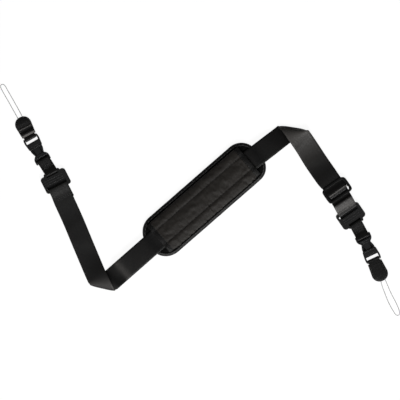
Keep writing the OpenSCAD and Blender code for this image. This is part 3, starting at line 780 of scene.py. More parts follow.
def evaluated(piece: Object) -> None:
    """Apply a piece's modifiers to its mesh."""
    graph = bpy.context.evaluated_depsgraph_get()
    mesh = bpy.data.meshes.new_from_object(piece.evaluated_get(graph))
    old = piece.data
    piece.modifiers.clear()
    piece.data = mesh
    mesh.name = piece.name
    bpy.data.meshes.remove(old)


def fuse(body: BMesh, added: Sequence[BMesh], cut: Sequence[BMesh] = ()) -> BMesh:
    """Join meshes into one closed skin.

    Args:
        body: The first mesh, which is freed.
        added: Meshes to join to it, which are freed.
        cut: Meshes to take away from the result, which are freed.

    Returns:
        The joined mesh.
    """
    operations = ["UNION"] * len(added) + ["DIFFERENCE"] * len(cut)
    joined, *tools = (show("fusing", settled(bm, "fusing")) for bm in (body, *added, *cut))
    for tool, operation in zip(tools, operations):
        modifier = joined.modifiers.new("fuse", "BOOLEAN")
        modifier.object = tool
        modifier.operation = operation
        modifier.solver = "EXACT"
        evaluated(joined)
    result = bmesh.new()
    result.from_mesh(joined.data)
    bmesh.ops.remove_doubles(result, verts=result.verts, dist=FUSED_WELD)
    for gone in (joined, *tools):
        mesh = gone.data
        bpy.data.objects.remove(gone)
        bpy.data.meshes.remove(mesh)
    return result


def polish(piece: Object) -> None:
    """Mark a moulding's rims as worn and even out its shading."""
    mesh = piece.data
    worn = mesh.attributes.new("worn", "FLOAT", "POINT")
    small = {}
    for face in mesh.polygons:
        for v in face.vertices:
            small[v] = min(small.get(v, 1.0), face.area)
    for v, area in small.items():
        worn.data[v].value = 1.0 if area < RIM_FACE * MM * MM else 0.0
    piece.modifiers.new("even_shading", "WEIGHTED_NORMAL").keep_sharp = True


def block(outline: Outline, bottom: float, top: float, rim: float = 0.4) -> BMesh:
    """Return a mesh of a moulded block.

    Args:
        outline: Its corners, each with the radius it is rounded to.
        bottom: The height of its underside.
        top: The height of its upper face.
        rim: How far the rims of both faces are rounded.

    Returns:
        The mesh.
    """
    part = bmesh.new()
    corners = [part.verts.new((x, y, bottom)) for x, y, _ in outline]
    radii = {v: r for v, (_, _, r) in zip(corners, outline)}
    part.faces.new(corners)
    for radius in sorted({r for r in radii.values() if r > 0}, reverse=True):
        chosen = [v for v in corners if radii[v] == radius]
        bmesh.ops.bevel(part, geom=chosen, offset=radius, offset_type="OFFSET", affect="VERTICES",
                        segments=5 if radius > 1 else 3, profile=0.5, material=-1, clamp_overlap=True)
        corners = [v for v in corners if v.is_valid]
    grown = bmesh.ops.extrude_face_region(part, geom=part.faces[:])["geom"]
    bmesh.ops.translate(part, verts=[v for v in grown if isinstance(v, BMVert)], vec=(0, 0, top - bottom))
    bmesh.ops.recalc_face_normals(part, faces=part.faces)
    if rim:
        rims = [e for e in part.edges if abs(e.verts[0].co.z - e.verts[1].co.z) < 1e-6]
        bmesh.ops.bevel(part, geom=rims, offset=rim, offset_type="OFFSET", affect="EDGES",
                        segments=3, profile=0.5, material=-1, clamp_overlap=True)
    return part


def brick(x0: float, x1: float, y0: float, y1: float, z0: float, z1: float,
          radius: float = 0.0, rim: float = 0.0) -> BMesh:
    """Return a mesh of a block with a rectangular outline."""
    corners = [(x0, y0, radius), (x1, y0, radius), (x1, y1, radius), (x0, y1, radius)]
    return block(corners, z0, z1, rim)


def bar(x: float, length: float) -> BMesh:
    """Return a mesh of a round bar across the strap."""
    bm = bmesh.new()
    rod(bm, Vector((x, 0, BAR_Z)), length, BAR_R)
    return bm


def mirrored(points: Outline) -> Outline:
    """Return an outline's upper half followed by its mirror image."""
    return list(points) + [(x, -y, r) for x, y, r in reversed(points)]


@dataclass
class Seam:
    """Stitches, each a short arc of thread that dips in at both ends."""

    length: float = 3.2
    thread: float = 0.28
    height: float = 0.3
    sunk: float = 0.12
    steps: int = 6
    sides: int = 6

    def stitch(self, bm: BMesh, spot: Vector, along: Vector, up: Vector = TABLE_UP) -> None:
        """Add one stitch centred on a spot, lying along a direction."""
        side = up.cross(along).normalized()
        rings = []
        for k in range(self.steps + 1):
            t = k / self.steps
            arc = math.sin(math.pi * t)
            centre = spot + along * ((t - 0.5) * self.length) + up * (self.height * arc - self.sunk)
            wide = self.thread * (0.55 + 0.45 * arc)
            rings.append([centre + side * (math.cos(a) * wide) + up * (math.sin(a) * wide * 0.7)
                          for a in (2 * math.pi * i / self.sides for i in range(self.sides))])
        Lofted(rings).add_to(bm)

    def row(self, bm: BMesh, start: Vector, end: Vector, pitch: float = 4.2,
            up: Vector = TABLE_UP) -> None:
        """Add stitches in a straight row."""
        gap = end - start
        count = max(1, int((gap.length - self.length) / pitch) + 1)
        along = gap.normalized()
        first = (gap.length - (count - 1) * pitch) / 2
        for k in range(count):
            self.stitch(bm, start + along * (first + k * pitch), along, up)

    def rows(self, places: Sequence[float], half: float, z: float, pitch: float) -> BMesh:
        """Return a mesh of rows of stitches that cross the strap."""
        bm = bmesh.new()
        for x in places:
            self.row(bm, Vector((x, -half, z)), Vector((x, half, z)), pitch)
        return bm


# ---- The strap ----
@dataclass
class StrapWebbing:
    """The wide webbing: sewn end, left tail, run through the pad, right tail into the adjuster."""

    finishes: Finishes
    left_bar: Place
    adjuster: Place
    left_run_heading: float = 41.3
    right_run_heading: float = 37.6
    pad_heading: float = 41.1
    right_tail_heading: float = -55.2
    left_run: float = 202.0
    right_bend: float = 61.0
    right_run: float = 111.5
    run_z: float = 7.2
    sewn_z: float = 2.0
    sewn_len: float = 22.0
    bend_back: float = 14.0
    loose: float = 0.6
    left_fold_r: float = 1.2
    right_fold_r: float = 1.5
    left_draw: float = 1.3
    right_draw: float = 1.6
    split_at: float = 20.0
    tail_half: float = 15.5
    run_half: float = 16.3
    bar_shift: float = 0.9
    run_shift: float = 0.6
    left_reach: float = 22.0
    right_reach: float = 17.0
    blend_end: float = 97.0

    def __post_init__(self) -> None:
        """Work out the folds' places."""
        self.fold_left = ahead(self.left_run_heading) * -self.left_run
        self.bend = ahead(self.pad_heading) * self.right_bend
        self.fold_right = self.bend + ahead(self.right_run_heading) * self.right_run

    def crease(self, before: Vector, after: Vector, up: int) -> tuple[Vector, Vector]:
        """Return the outward direction of a crease and the half width that lies along it."""
        line = (before + after).normalized()
        half = line * (up * WIDE_HALF / line.dot(left_of(before)))
        return (before - after).normalized(), half

    def fan(self, fold: Vector, direction: Vector, near: float, reach: float, z: float,
            flat: Vector, creased: Vector, aside: float = 0.0, lift: float = 0.0) -> Station:
        """Return a station beside a crease, its width turning towards the crease's line.

        Args:
            fold: The crease's middle.
            direction: Away from the crease, along the webbing.
            near: The distance from the crease.
            reach: The distance at which the width lies square to the webbing.
            z: The height.
            flat: The half width square to the webbing.
            creased: The half width along the crease.
            aside: How far it lies towards the square half width.
            lift: How far its left edge is lowered.

        Returns:
            The station.
        """
        t = min(1.0, near / reach)
        spot = fold + direction * near + flat.normalized() * aside
        return Station(Vector((spot.x, spot.y, z)), creased.lerp(flat, t) - TABLE_UP * lift)

    def left_tail(self) -> list[Station]:
        """Return the stations from the sewn left end to the left fold's crease."""
        out, bar_at = self.left_bar.out, self.left_bar.origin
        half, shift = self.tail_half, self.bar_shift
        start = bar_at - out * self.bend_back
        tail = (self.fold_left - start).normalized()
        line = [level(bar_at - out * self.sewn_len, LOW_Z, out, 1, half, aside=shift),
                level(bar_at - out * 2, LOW_Z, out, 1, half, aside=shift)]
        turn_at = bar_at + out * self.loose + left_of(out) * shift
        line += half_turn(turn_at, LOW_Z, out, left_of(out) * half, 1, LOOP_MID)
        line += [level(bar_at - out * back, z, -out, -1, half, mark, aside=-shift)
                 for back, z, mark in ((2.5, HIGH_Z, "left_bar"), (6, 4.1, ""), (10, 2.8, ""))]
        line.append(level(start, self.sewn_z + 0.1, tail - out, -1, half, aside=-1.6))
        line += [level(start + tail * q, z, tail, -1, half, aside=aside) for q, z, aside in (
            (8, 2.1, -1.8), (16, 1.5, -1.5), (30, 0.9, -1.05), (46, 0.8, -0.75), (62, 1.4, -0.85),
            (78, 1.0, -1.0), (94, 0.8, -1.0))]
        out_left, creased = self.crease(tail, ahead(self.left_run_heading), -1)
        square = -left_of(tail) * half
        line += [self.fan(self.fold_left, -tail, q, self.left_reach, z, square, creased, smooth(q / 30), lift)
                 for q, z, lift in ((52, 0.9, 0), (40, 1.5, 0.6), (30, 2.8, 1.6), (22, 4.1, 2.6),
                                    (15, 5.0, 2.6), (9, 5.0, 1.6), (5, 4.4, 0.7), (2, 3.6, 0))]
        turn_at = self.fold_left - out_left * self.left_draw
        return line + half_turn(turn_at, LOW_Z + 2 * self.left_fold_r, out_left, creased, -1,
                                self.left_fold_r, "left_fold", 1.4)

    def through_pad(self) -> list[Station]:
        """Return the stations from the left fold through the pad to the right fold's crease."""
        run_left, run_right = ahead(self.left_run_heading), ahead(self.right_run_heading)
        before = (self.fold_left - self.left_bar.origin).normalized()
        _, creased = self.crease(before, run_left, -1)
        square = left_of(run_left) * self.run_half
        shift = self.run_shift
        line = [self.fan(self.fold_left, run_left, q, self.left_reach, z, square, creased,
                         shift * smooth(q / 20), lift)
                for q, z, lift in ((4, 0.9, 0), (10, 2.2, 1.5), (16, 3.4, 2.8), (22, 3.7, 3.0),
                                   (28, 3.4, 2.0), (33, 3.6, 0.6), (38, 4.8, 0), (46, 6.7, 0))]
        line += [level(run_left * s, self.run_z, run_left, 1, self.run_half, roll=roll, aside=shift)
                 for s, roll in ((-148, 0), (-140, 0), (-122, -1.5), (-112, -2.5), (-104, -3), (-96, -2.5),
                                 (-89, -1), (-82, 0))]
        line += [level(Vector(), self.run_z, ahead((self.left_run_heading + self.pad_heading) / 2)),
                 level(self.bend, self.run_z, run_left + run_right, mark="bend")]
        line += [level(self.bend + run_right * q, z, run_right, 1, 16, roll=roll) for q, z, roll in (
            (21, 7.2, 0), (28, 7.2, -1), (35, 7.2, -2.5), (43, 7.2, -3), (50, 7.2, -3), (58, 7.2, -3.5),
            (66, 7.1, -4), (72, 6.9, -6), (79, 6.1, -10), (89, 4.6, -12))]
        tail_right = ahead(self.right_tail_heading)
        _, creased = self.crease(run_right, tail_right, 1)
        square = left_of(run_right) * 15.9
        return line + [self.fan(self.fold_right, -run_right, q, self.right_reach, z, square, creased, 0, lift)
                       for q, z, lift in ((15, 3.1, 2.3), (10, 2.0, 1.2), (5, 0.9, 0.2))]

    def right_tail(self) -> list[Station]:
        """Return the stations from the right fold's crease over the adjuster's middle bar."""
        run_right, tail = ahead(self.right_run_heading), ahead(self.right_tail_heading)
        out_right, creased = self.crease(run_right, tail, 1)
        square = -left_of(tail) * 16.8
        turn_at = self.fold_right - out_right * self.right_draw
        line = half_turn(turn_at, LOW_Z, out_right, creased, 1, self.right_fold_r, "right_fold", 2.2)
        for q, z, aside in ((2, 4.8, 0), (4, 6.2, 0), (7, 7.7, 0), (10, 8.2, 0), (14, 7.7, 0), (20, 6.2, 0),
                            (26, 4.6, 0), (34, 3.0, 0), (44, 1.8, 0.4), (56, 1.2, 1.0), (68, 1.4, 1.2),
                            (78, 2.2, 1.2), (86, 3.6, 1.2), (92, 4.6, 1.1)):
            wide = square * (1 + 0.03 * smooth((q - 36) / 16))
            line.append(self.fan(self.fold_right, tail, q, self.right_reach, z, wide, creased, aside))
            if q == self.split_at:
                line[-1].mark = "split"
        for x, z, half, aside in (
                (-15, 4.9, 17.0, -1.4), (-12, 4.9, 16.6, -0.8), (-9.5, 4.9, 16.3, -0.2),
                (-7.2, 4.95, 16.3, 0), (-5, 5.3, 16.3, 0), (-2.5, 6.3, 16.2, 0), (0, 7.3, 15.9, 0),
                (2, 8.0, 15.5, 0),
                (3, 8.15, 15.4, 0), (4, 7.8, 15.3, 0), (5.4, 6.5, 15.2, 0), (6.8, 5.1, 15, -0.2),
                (8.2, 4.2, 14.9, -0.5), (9.6, 4.2, 15.1, -0.4), (11.4, 4.8, 15.6, -0.3)):
            line.append(level(self.adjuster.spot(x), z, tail, -1, half, "crest" if x == 3 else "", x > -10,
                              aside=aside))
        return line

    def ripples(self) -> list[Swell]:
        """Return the ridges that the folds raise in the webbing."""
        return [Swell(*row) for row in (
            ("left_fold", 32, 7, 2.4, 7.9), ("left_fold", 47, 8, -0.8, 6), ("left_bar", 60, 9, 0.5, 4),
            ("left_bar", 88, 12, 0.4, -5), ("right_fold", 27, 4, 0.35, 5), ("right_fold", 60, 8, 0.4, -4))]

    def painted_light_swells(self) -> list[Swell]:
        """Return the stretches of the webbing with a painted highlight, or painted shade where below nought.
        """
        return [Swell(*row) for row in (
            ("left_fold", -10, 7, 0.5), ("left_fold", 41, 5, 0.5), ("right_fold", 13, 11, 0.8),
            ("right_fold", 38, 22, 0.45), ("crest", 1.5, 1.0, 1.2), ("left_fold", 20, 7, -1.0),
            ("crest", -6, 4, -0.6), ("crest", 6.8, 3, -1.0), ("left_fold", 101, 9, -0.9),
            ("bend", 43, 9, -0.9), ("right_fold", -19, 7, -0.8))]

    def build(self) -> None:
        """Make the webbing in two pieces that meet past the right fold, and its sewn end."""
        tape = Tape(self.left_tail() + self.through_pad() + self.right_tail(), crown=0.12,
                    ripples=self.ripples(), painted_light_swells=self.painted_light_swells())
        rings, shine = tape.rings()
        cut = tape.rows["split"]
        run = Lofted(rings[:cut + 1], shine=shine[:cut + 1]).mesh()
        make("strap_webbing_run", run, self.finishes.webbing, "strap_webbing", "webbing",
             "main_webbing", sharp=WEBBING_CRISP)
        tail = Lofted(rings[cut:], shine=shine[cut:]).mesh()
        piece = finish("strap_webbing_tail", tail, self.finishes.webbing, sharp=WEBBING_CRISP)
        away = ahead(self.right_tail_heading)
        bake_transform(piece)
        sewn = Seam(length=2.6).rows((-18.6, -16.4), 13, self.sewn_z + WEB_T / 2 + 0.12, 3.4)
        make("strap_end_stitches", sewn, self.finishes.thread, "strap_webbing", "thread",
             "left_end_stitching", self.left_bar)


# ---- The pad ----
@dataclass
class Pad:
    """The shoulder pad: bound base, quilted sleeve with two seams, hems and channel."""

    finishes: Finishes
    place: Place
    length: float = 216.6
    width: float = 67.8
    corners: tuple[float, float, float, float] = (27.0, 29.5, 28.5, 24.5)
    base_t: float = 6.0
    binding_w: float = 5.0
    sleeve_len: float = 180.0
    sleeve_w: float = 53.2
    channel_w: float = 42.0
    ceiling: float = 8.9
    lining_top: float = 9.5
    quilt_z: float = 11.2
    lobe: float = 1.3
    seam_y: float = 12.4
    hem_len: float = 8.0
    voxel: float = 2.4
    cloth_t: float = 0.8
    cloth_rows: int = 84
    cloth_cols: int = 17

    def outline(self, inset: float, steps: int = 14) -> list[Vector]:
        """Return points round the pad's outline, drawn in by an inset."""
        return rounded(self.length / 2, self.width / 2, self.corners, inset, steps, 3)

    def crown(self, y: float) -> float:
        """Return the height of the sleeve's top at a distance from its middle line."""
        y = abs(y)
        if y <= self.seam_y:
            return self.quilt_z + self.lobe * (1 - (y / self.seam_y) ** 2)
        t = (y - self.seam_y) / (self.sleeve_w / 2 - self.seam_y)
        rise = self.lobe * 0.5 * math.sin(math.radians(min(180, 300 * t)))
        fall = (self.quilt_z - self.base_t) * 0.45 * max(0.0, (t - 0.35) / 0.65) ** 3
        return self.quilt_z + rise - fall

    def build(self) -> None:
        """Make every piece of the pad."""
        self.base()
        self.binding()
        self.sleeve()
        self.channel()
        self.hems()
        self.stitches()

    def base(self) -> None:
        """Make the padded base, swollen a little between its bound edges."""
        bm = block([(p.x, p.y, 0) for p in self.outline(1.2)], 0.5, self.base_t - 0.6, 0)
        piece = finish("pad_base", bm, self.finishes.lining, self.place)
        remesh = piece.modifiers.new("voxels", "REMESH")
        remesh.mode = "VOXEL"
        remesh.voxel_size = self.voxel * MM
        evaluated(piece)
        firm = {"quality": 4, "tension_stiffness": 25, "compression_stiffness": 25}
        Puffing(pressure=4.0, limit=0.5 * MM, frames=20, settings=firm).puff(piece)
        self.settle(piece)
        soften(piece)
        piece.data.shade_smooth()
        fix(piece, "pad", "pad_lining", "pad_backing", "pad_foam", "pad_base_panel")

    def settle(self, piece: Object) -> None:
        """Press the base flat on the table and under the sleeve, and lift it beside the webbing."""
        turn = self.place.matrix().inverted()
        lowest, highest = 0.12 * MM, (self.base_t + 0.15) * MM
        for vert in piece.data.vertices:
            local = turn @ (vert.co / MM)
            flange = smooth((abs(local.x) - self.sleeve_len / 2 + 2) / 6)
            if vert.co.z > self.base_t * MM / 2:
                puff = flange * (0.9 if local.x < 0 and local.y < 0 else 0.3)
                puff *= math.exp(-((abs(local.y) - 20.5) / 4.5) ** 2 - ((abs(local.x) - 97) / 5) ** 2)
                dip = 0.5 * flange * smooth((abs(local.x) - 99) / 6)
                deep = 0.9 + 0.4 * flange * smooth((abs(local.x) - 90) / 4)
                dip += deep * math.exp(-(local.y / 18) ** 6)
                wave = 0.12 * noise(Vector((local.x * 0.2, local.y * 0.2, 3)))
                vert.co.z = min(vert.co.z, highest) + (puff - dip + wave * flange) * MM
            vert.co.z = max(vert.co.z, lowest)

    def binding(self) -> None:
        """Make the tape folded round the pad's edge, gathered a little at the corners."""
        outer, inner = self.outline(0.0), self.outline(1.0)
        top, width = self.base_t + 0.3, self.binding_w
        section = [(width, top - 0.9), (width + 0.05, top - 0.35), (width - 0.5, top + 0.1), (3.7, top),
                   (2.4, top - 0.5), (1.2, top - 1.3), (0.3, top - 2.3), (0.0, top / 2),
                   (0.25, 1.6), (1.0, 0.55), (2.2, 0.12), (3.6, 0.05), (width - 0.5, 0.05), (width, 0.35),
                   (width - 0.2, 1.0), (3.4, 1.1), (2.2, 1.5), (1.5, 2.4), (1.4, top / 2), (1.6, top - 2.2),
                   (2.4, top - 1.35), (3.4, top - 1.05)]
        rings = []
        for edge, step_in in zip(outer, inner):
            inward = (step_in - edge).normalized()
            bend = abs(abs(inward.x) - abs(inward.y)) < 0.999 and min(abs(inward.x), abs(inward.y)) > 0.05
            pucker = (0.2 * noise(Vector((edge.x * 0.35, edge.y * 0.35, 1))) * (2.2 if bend else 1)
                      + 0.25 * noise(Vector((edge.x * 0.11, edge.y * 0.11, 5))))
            rings.append([Vector((edge.x, edge.y, 0)) + inward * (d + pucker * 0.6)
                          + TABLE_UP * (z + (pucker if z > 3 else 0)) for d, z in section])
        piece = self.make("pad_edge_tape", Lofted(rings, True).mesh(), self.finishes.binding, "binding",
                          "pad_edge_binding", TAPE_CRISP)
        soften(piece, False)

    def sleeve(self) -> None:
        """Make the quilted cover: a cloth pinned along its seams and edges, puffed between them."""
        half_len = self.sleeve_len / 2 - self.hem_len + 1.0
        edge = self.sleeve_w / 2
        n, rows = self.cloth_cols, self.cloth_rows
        flank = [(-edge - 0.1, self.base_t + 0.1), (-edge - 0.15, self.base_t + 1.0),
                 (-edge, (self.base_t + self.crown(edge)) / 2 + 0.4)]
        top = [(y, self.crown(y)) for y in (edge * (k / n) for k in range(-n, n + 1))]
        cols = [*flank, *top, *((-y, z) for y, z in reversed(flank))]
        bm = bmesh.new()
        seams = {min(range(3, len(cols) - 3), key=lambda i, s=s: abs(cols[i][0] - s * self.seam_y))
                 for s in (-1, 1)}
        pins = []
        for vert, i, j in grid(bm, len(cols) - 1, rows):
            x = -half_len + 2 * half_len * j / rows
            y, z = cols[i]
            pins.append(1.0 if i in seams or i < 2 or i > len(cols) - 3 or j in (0, rows) else 0.0)
            if i in seams:
                y, z = math.copysign(self.seam_y, y), self.quilt_z
            vert.co = Vector((x, y, z))
        piece = finish("sleeve_cover_quilt", bm, self.finishes.cover, self.place)
        group = piece.vertex_groups.new(name="pins")
        for index, weight in enumerate(pins):
            group.add([index], weight, "REPLACE")
        limp = {"quality": 6, "mass": 0.15, "vertex_group_mass": group.name, "shrink_min": -0.004,
                "tension_stiffness": 12, "compression_stiffness": 12, "shear_stiffness": 6,
                "bending_stiffness": 4}
        Puffing(pressure=2.5, limit=0.9 * MM, frames=24, settings=limp).puff(piece)
        soften(piece)
        self.crumple(piece)
        thick = piece.modifiers.new("cloth", "SOLIDIFY")
        thick.thickness = self.cloth_t * MM
        thick.offset = -1
        evaluated(piece)
        piece.data.shade_smooth()
        fix(piece, "pad", "pad_cover", "sleeve_cover", "sleeve_foam")

    def crumple(self, piece: Object) -> None:
        """Add the slanting creases that cross the sleeve, its soft unevenness and its fuller lower edge."""
        turn = self.place.matrix().inverted()
        beside = left_of(self.place.out)
        creases = ((-3, -26, -6, 1.1, 0.9), (1, -14, 12, 1.7, 0.22), (-70, -26, -14, 1.2, 0.35),
                   (6, 12, 26, 1.3, 0.3), (46, -26, -12, 1.3, 0.25), (-38, 12, 26, 1.5, 0.25),
                   (-24, -26, -16, 1.4, 0.25), (68, 0, 24, 1.6, 0.2), (-55, -8, 12, 1.8, 0.15),
                   (24, -26, -17, 1.2, 0.25))
        for vert in piece.data.vertices:
            local = turn @ (vert.co / MM)
            for x, y0, y1, reach, height in creases:
                if y0 < local.y < y1:
                    away = (local.x - x - (local.y - y0) * 0.18) / reach
                    inside = math.sin(math.pi * (local.y - y0) / (y1 - y0))
                    vert.co.z += height * inside * math.exp(-away * away) * (1 - 0.8 * away) * MM
            if local.z > self.base_t + 2.1:
                soft = 0.3 * noise(Vector((local.x * 0.09, local.y * 0.16, 1)))
                soft += 0.16 * noise(Vector((local.x * 0.33, local.y * 0.2, 4)))
                gathers = bell(abs(local.y) - self.seam_y, 3.5) + bell(abs(local.y) - self.sleeve_w / 2, 4)
                lower = 2.0 if local.y < 0 else 1.0
                soft += 0.22 * lower * gathers * noise(Vector((local.x * 0.4, local.y * 0.12, 7)))
                if local.y < -self.seam_y:
                    soft += 0.7 * smooth((local.x + 10) / 50) * (-local.y - self.seam_y) / 14
                soft -= 0.45 * bell(abs(local.y) - self.seam_y, 0.7)
                vert.co.z += soft * MM * smooth((self.sleeve_len / 2 - abs(local.x) - 6) / 6)
            if local.y < -20 and abs(local.x) < self.sleeve_len / 2 - 10:
                full = 0.95 + 1.6 * noise(Vector((local.x * 0.22, 1, 8)))
                vert.co -= beside * (smooth((-local.y - 20) / 6) * full * MM)

    def arch(self, top: Outline, start: float, end: float, radius: float, rim: float) -> BMesh:
        """Return a length of a form that spans the channel.

        Args:
            top: The upper edge of its cross-section, as y, height and radius, from +y to -y.
            start: Where along the pad it starts.
            end: Where along the pad it ends.
            radius: How far the corners of the channel's ceiling are rounded.
            rim: How far the rims of its ends are rounded.

        Returns:
            The mesh.
        """
        seat, half = self.base_t + 0.05, self.channel_w / 2
        section = [(top[0][0], seat, 0.0), *top, (top[-1][0], seat, 0.0), (-half, seat, 0.0),
                   (-half, self.ceiling, radius), (half, self.ceiling, radius), (half, seat, 0.0)]
        bm = block(section, start, end, rim)
        stood_up = Matrix(((0, 0, 1, 0), (1, 0, 0, 0), (0, 1, 0, 0), (0, 0, 0, 1)))
        bmesh.ops.transform(bm, matrix=stood_up, verts=bm.verts)
        return bm

    def make(self, name: str, bm: BMesh, material: Material, slot: str, nodes: str,
             sharp: float = CRISP) -> Object:
        """Finish a piece made in the pad's own axes and let it ride on the pad."""
        return make(name, bm, material, "pad", slot, nodes, self.place, sharp)

    def channel(self) -> None:
        """Make the thin lining of the channel that the webbing runs through."""
        side, end = self.sleeve_w / 2 - 0.9, self.sleeve_len / 2 - self.hem_len
        bm = self.arch([(side, self.lining_top, 0.5), (-side, self.lining_top, 0.5)], -end, end, 0.5, 0.15)
        self.make("sleeve_channel_lining", bm, self.finishes.lining, "pad_lining", "sleeve_lining")

    def hems(self) -> None:
        """Make the tape that closes each end of the sleeve."""
        steps = 12
        places = [self.sleeve_w / 2 * k / steps for k in range(steps, -steps - 1, -1)]
        top = [(y, self.crown(y) - 0.15, 0.0) for y in places]
        far = self.sleeve_len / 2
        near = far - self.hem_len
        for name, start, end in (("left", -far, -near), ("right", near, far)):
            bm = self.arch(top, start, end, 0.6, 0.7)
            uv_layer = bm.loops.layers.uv.verify()
            for face in bm.faces:
                for loop in face.loops:
                    loop[uv_layer].uv = (loop.vert.co.x * MM, loop.vert.co.y * MM)
            self.make(f"sleeve_hem_tape_{name}", bm, self.finishes.hem, "binding", f"sleeve_hem_{name}",
                      TAPE_CRISP)

    def stitches(self) -> None:
        """Make the stitches of the quilting, the hems and the bound edge."""
        seam = Seam()
        quilting = bmesh.new()
        reach = self.sleeve_len / 2 - self.hem_len - 1
        for sign in (-1, 1):
            y = sign * self.seam_y
            seam.row(quilting, *(Vector((x, y, self.quilt_z + 0.1)) for x in (-reach, reach)))
            x = sign * (self.sleeve_len / 2 - self.hem_len + 1.6)
            for k in range(-6, 6):
                y0, y1 = (k + 0.1) * 3.9, (k + 0.9) * 3.9
                one, two = (Vector((x, y, self.crown(y) - 0.1)) for y in (y0, y1))
                seam.stitch(quilting, (one + two) / 2, (two - one).normalized())
        self.make("sleeve_quilting_stitches", quilting, self.finishes.dull_thread, "thread",
                  "sleeve_quilting")
        edging = bmesh.new()
        path = self.outline(self.binding_w - 1.2, 20)
        run, due = 0.0, 0.0
        for one, two in zip(path, path[1:] + path[:1]):
            run += (two - one).length
            if run >= due and not (abs(one.y) < 16.5 and abs(one.x) > self.sleeve_len / 2):
                spot = (one + two) / 2
                spot.z = self.base_t + 0.42
                seam.stitch(edging, spot, (two - one).normalized())
                due = run + 4.2
        self.make("pad_edge_stitches", edging, self.finishes.thread, "thread", "pad_edge_stitching")


@dataclass(frozen=True)
class Puffing:
    """Cloth simulation that puffs a form from inside, no point moving much past a limit in metres."""

    pressure: float
    limit: float
    frames: int
    settings: dict[str, float | str]

    def puff(self, piece: Object) -> None:
        """Puff a piece."""
        before = [v.co.copy() for v in piece.data.vertices]
        cloth = piece.modifiers.new("puffing", "CLOTH")
        for key, value in self.settings.items():
            setattr(cloth.settings, key, value)
        cloth.settings.use_pressure = True
        cloth.settings.uniform_pressure_force = self.pressure
        cloth.settings.effector_weights.gravity = 0
        cloth.collision_settings.use_collision = False
        cloth.point_cache.frame_end = self.frames
        scene = bpy.context.scene
        for number in range(1, self.frames + 1):
            scene.frame_set(number)
        evaluated(piece)
        scene.frame_set(1)
        self.draw_back(piece, before)

    def draw_back(self, piece: Object, before: Sequence[Vector]) -> None:
        """Draw back every point that has moved further than the limit from where it was."""
        moved = [(v.co - old).length for v, old in zip(piece.data.vertices, before)]
        log.info("%s moved %.2f mm on average, %.2f mm at most", piece.name,
                 sum(moved) / len(moved) / MM, max(moved) / MM)
        limit = self.limit
        for vert, old, move in zip(piece.data.vertices, before, moved):
            if move > limit:
                soft = limit * (2 - limit / move) / 2 + limit / 2
                vert.co = old + (vert.co - old) * (min(soft, limit * 1.5) / move)


# ---- Adjuster and doubled webbing ----
@dataclass
class Adjuster:
    """The sliding three-bar adjuster with the webbing's sewn end round its middle bar."""

    finishes: Finishes
    place: Place
    half_x: float = 11.2
    half_y: float = 18.1
    corner: float = 5.4
    far_corner: float = 3.0
    bow: float = 0.35
    along: float = 1.8
    bar_low: float = 5.65
    rail_low: float = 1.4
    top: float = 7.05
    wide: float = 3.7
    rail_wide: float = 5.0
    folded_z: float = 3.4
    rail_y: float = 16.2
    notch_x: float = 8.4

    def frame_path(self) -> list[Vector]:
        """Return the middle line of the adjuster's outer ring."""
        near, far = self.corner, self.far_corner
        dense = rounded(self.half_x, self.half_y, (far, near, near, far), 0, 8, 2)
        for p in dense:
            rail = smooth((abs(p.y) - 13) / 4)
            p.y += math.copysign(self.bow * rail * (1 - (p.x / self.half_x) ** 2), p.y)
            p.x += self.along
            p.y += 0.2
        return dense

    def build(self) -> None:
        """Make the adjuster, the sewn end of the webbing and its stitches."""
        path = self.frame_path()
        rings = []
        for k, here in enumerate(path):
            along = (path[(k + 1) % len(path)] - path[k - 1]).normalized()
            side = left_of(along)
            deep = smooth((abs(here.y) - self.rail_y) / 1.6)
            low = self.bar_low + (self.rail_low - self.bar_low) * deep
            middle, half_h = (self.top + low) / 2, (self.top - low) / 2
            wide = self.wide + (self.rail_wide - self.wide) * deep
            notch = 1.5 * bell(here.x - self.notch_x, 1.3) if here.y > 14 else 0.0
            wide -= notch
            here = here - side * (notch / 2)
            rings.append([here + side * (x * wide / 2) + TABLE_UP * (middle + z * half_h)
                          for x, z in squarish(20, 0.55, 0.55)])
        frame_ring = Lofted(rings, True).mesh()
        bmesh.ops.recalc_face_normals(frame_ring, faces=frame_ring.faces)
        bm = fuse(frame_ring, [brick(-3, 3, -18.2, 18.2, self.rail_low, 2.7, 0.5, 0.4)])
        piece = make("adjuster_frame", bm, self.finishes.frame, "adjuster", "buckle_plastic",
                     "adjuster", self.place)
        polish(piece)
        self.sewn_end()

    def sewn_end(self) -> None:
        """Make the webbing that goes round the middle bar and is sewn to itself."""
        out = self.place.out
        at = self.place.spot
        radius = (self.folded_z - LOW_Z) / 2
        line = [level(at(12.4, -1.0), LOW_Z + 1.3, -out, -1, 15.3),
                level(at(8, -0.8), LOW_Z + 1.32, -out, -1, 15.3),
                level(at(5), self.folded_z - 0.5, -out, -1), level(at(2.5), self.folded_z, -out, -1),
                level(at(-2.8), self.folded_z, -out, -1)]
        line += half_turn(at(-3.1), self.folded_z, -out, left_of(out) * WIDE_HALF, -1, radius)
        line += [level(at(-2.8), LOW_Z, out), level(at(4), LOW_Z, out), level(at(8, -0.9), LOW_Z, out),
                 level(at(12.6, -1.1), LOW_Z, out)]
        make("adjuster_sewn_end", Tape(line, ease=2, step=1.4).mesh(), self.finishes.webbing,
             "adjuster", "webbing", "adjuster_webbing_end", sharp=WEBBING_CRISP)
        bm = Seam(length=2.6).rows((8.6, 10.8), 13, LOW_Z + 1.3 + WEB_T / 2, 3.4)
        make("adjuster_end_stitches", bm, self.finishes.thread, "adjuster", "thread",
             "adjuster_stitching", self.place)


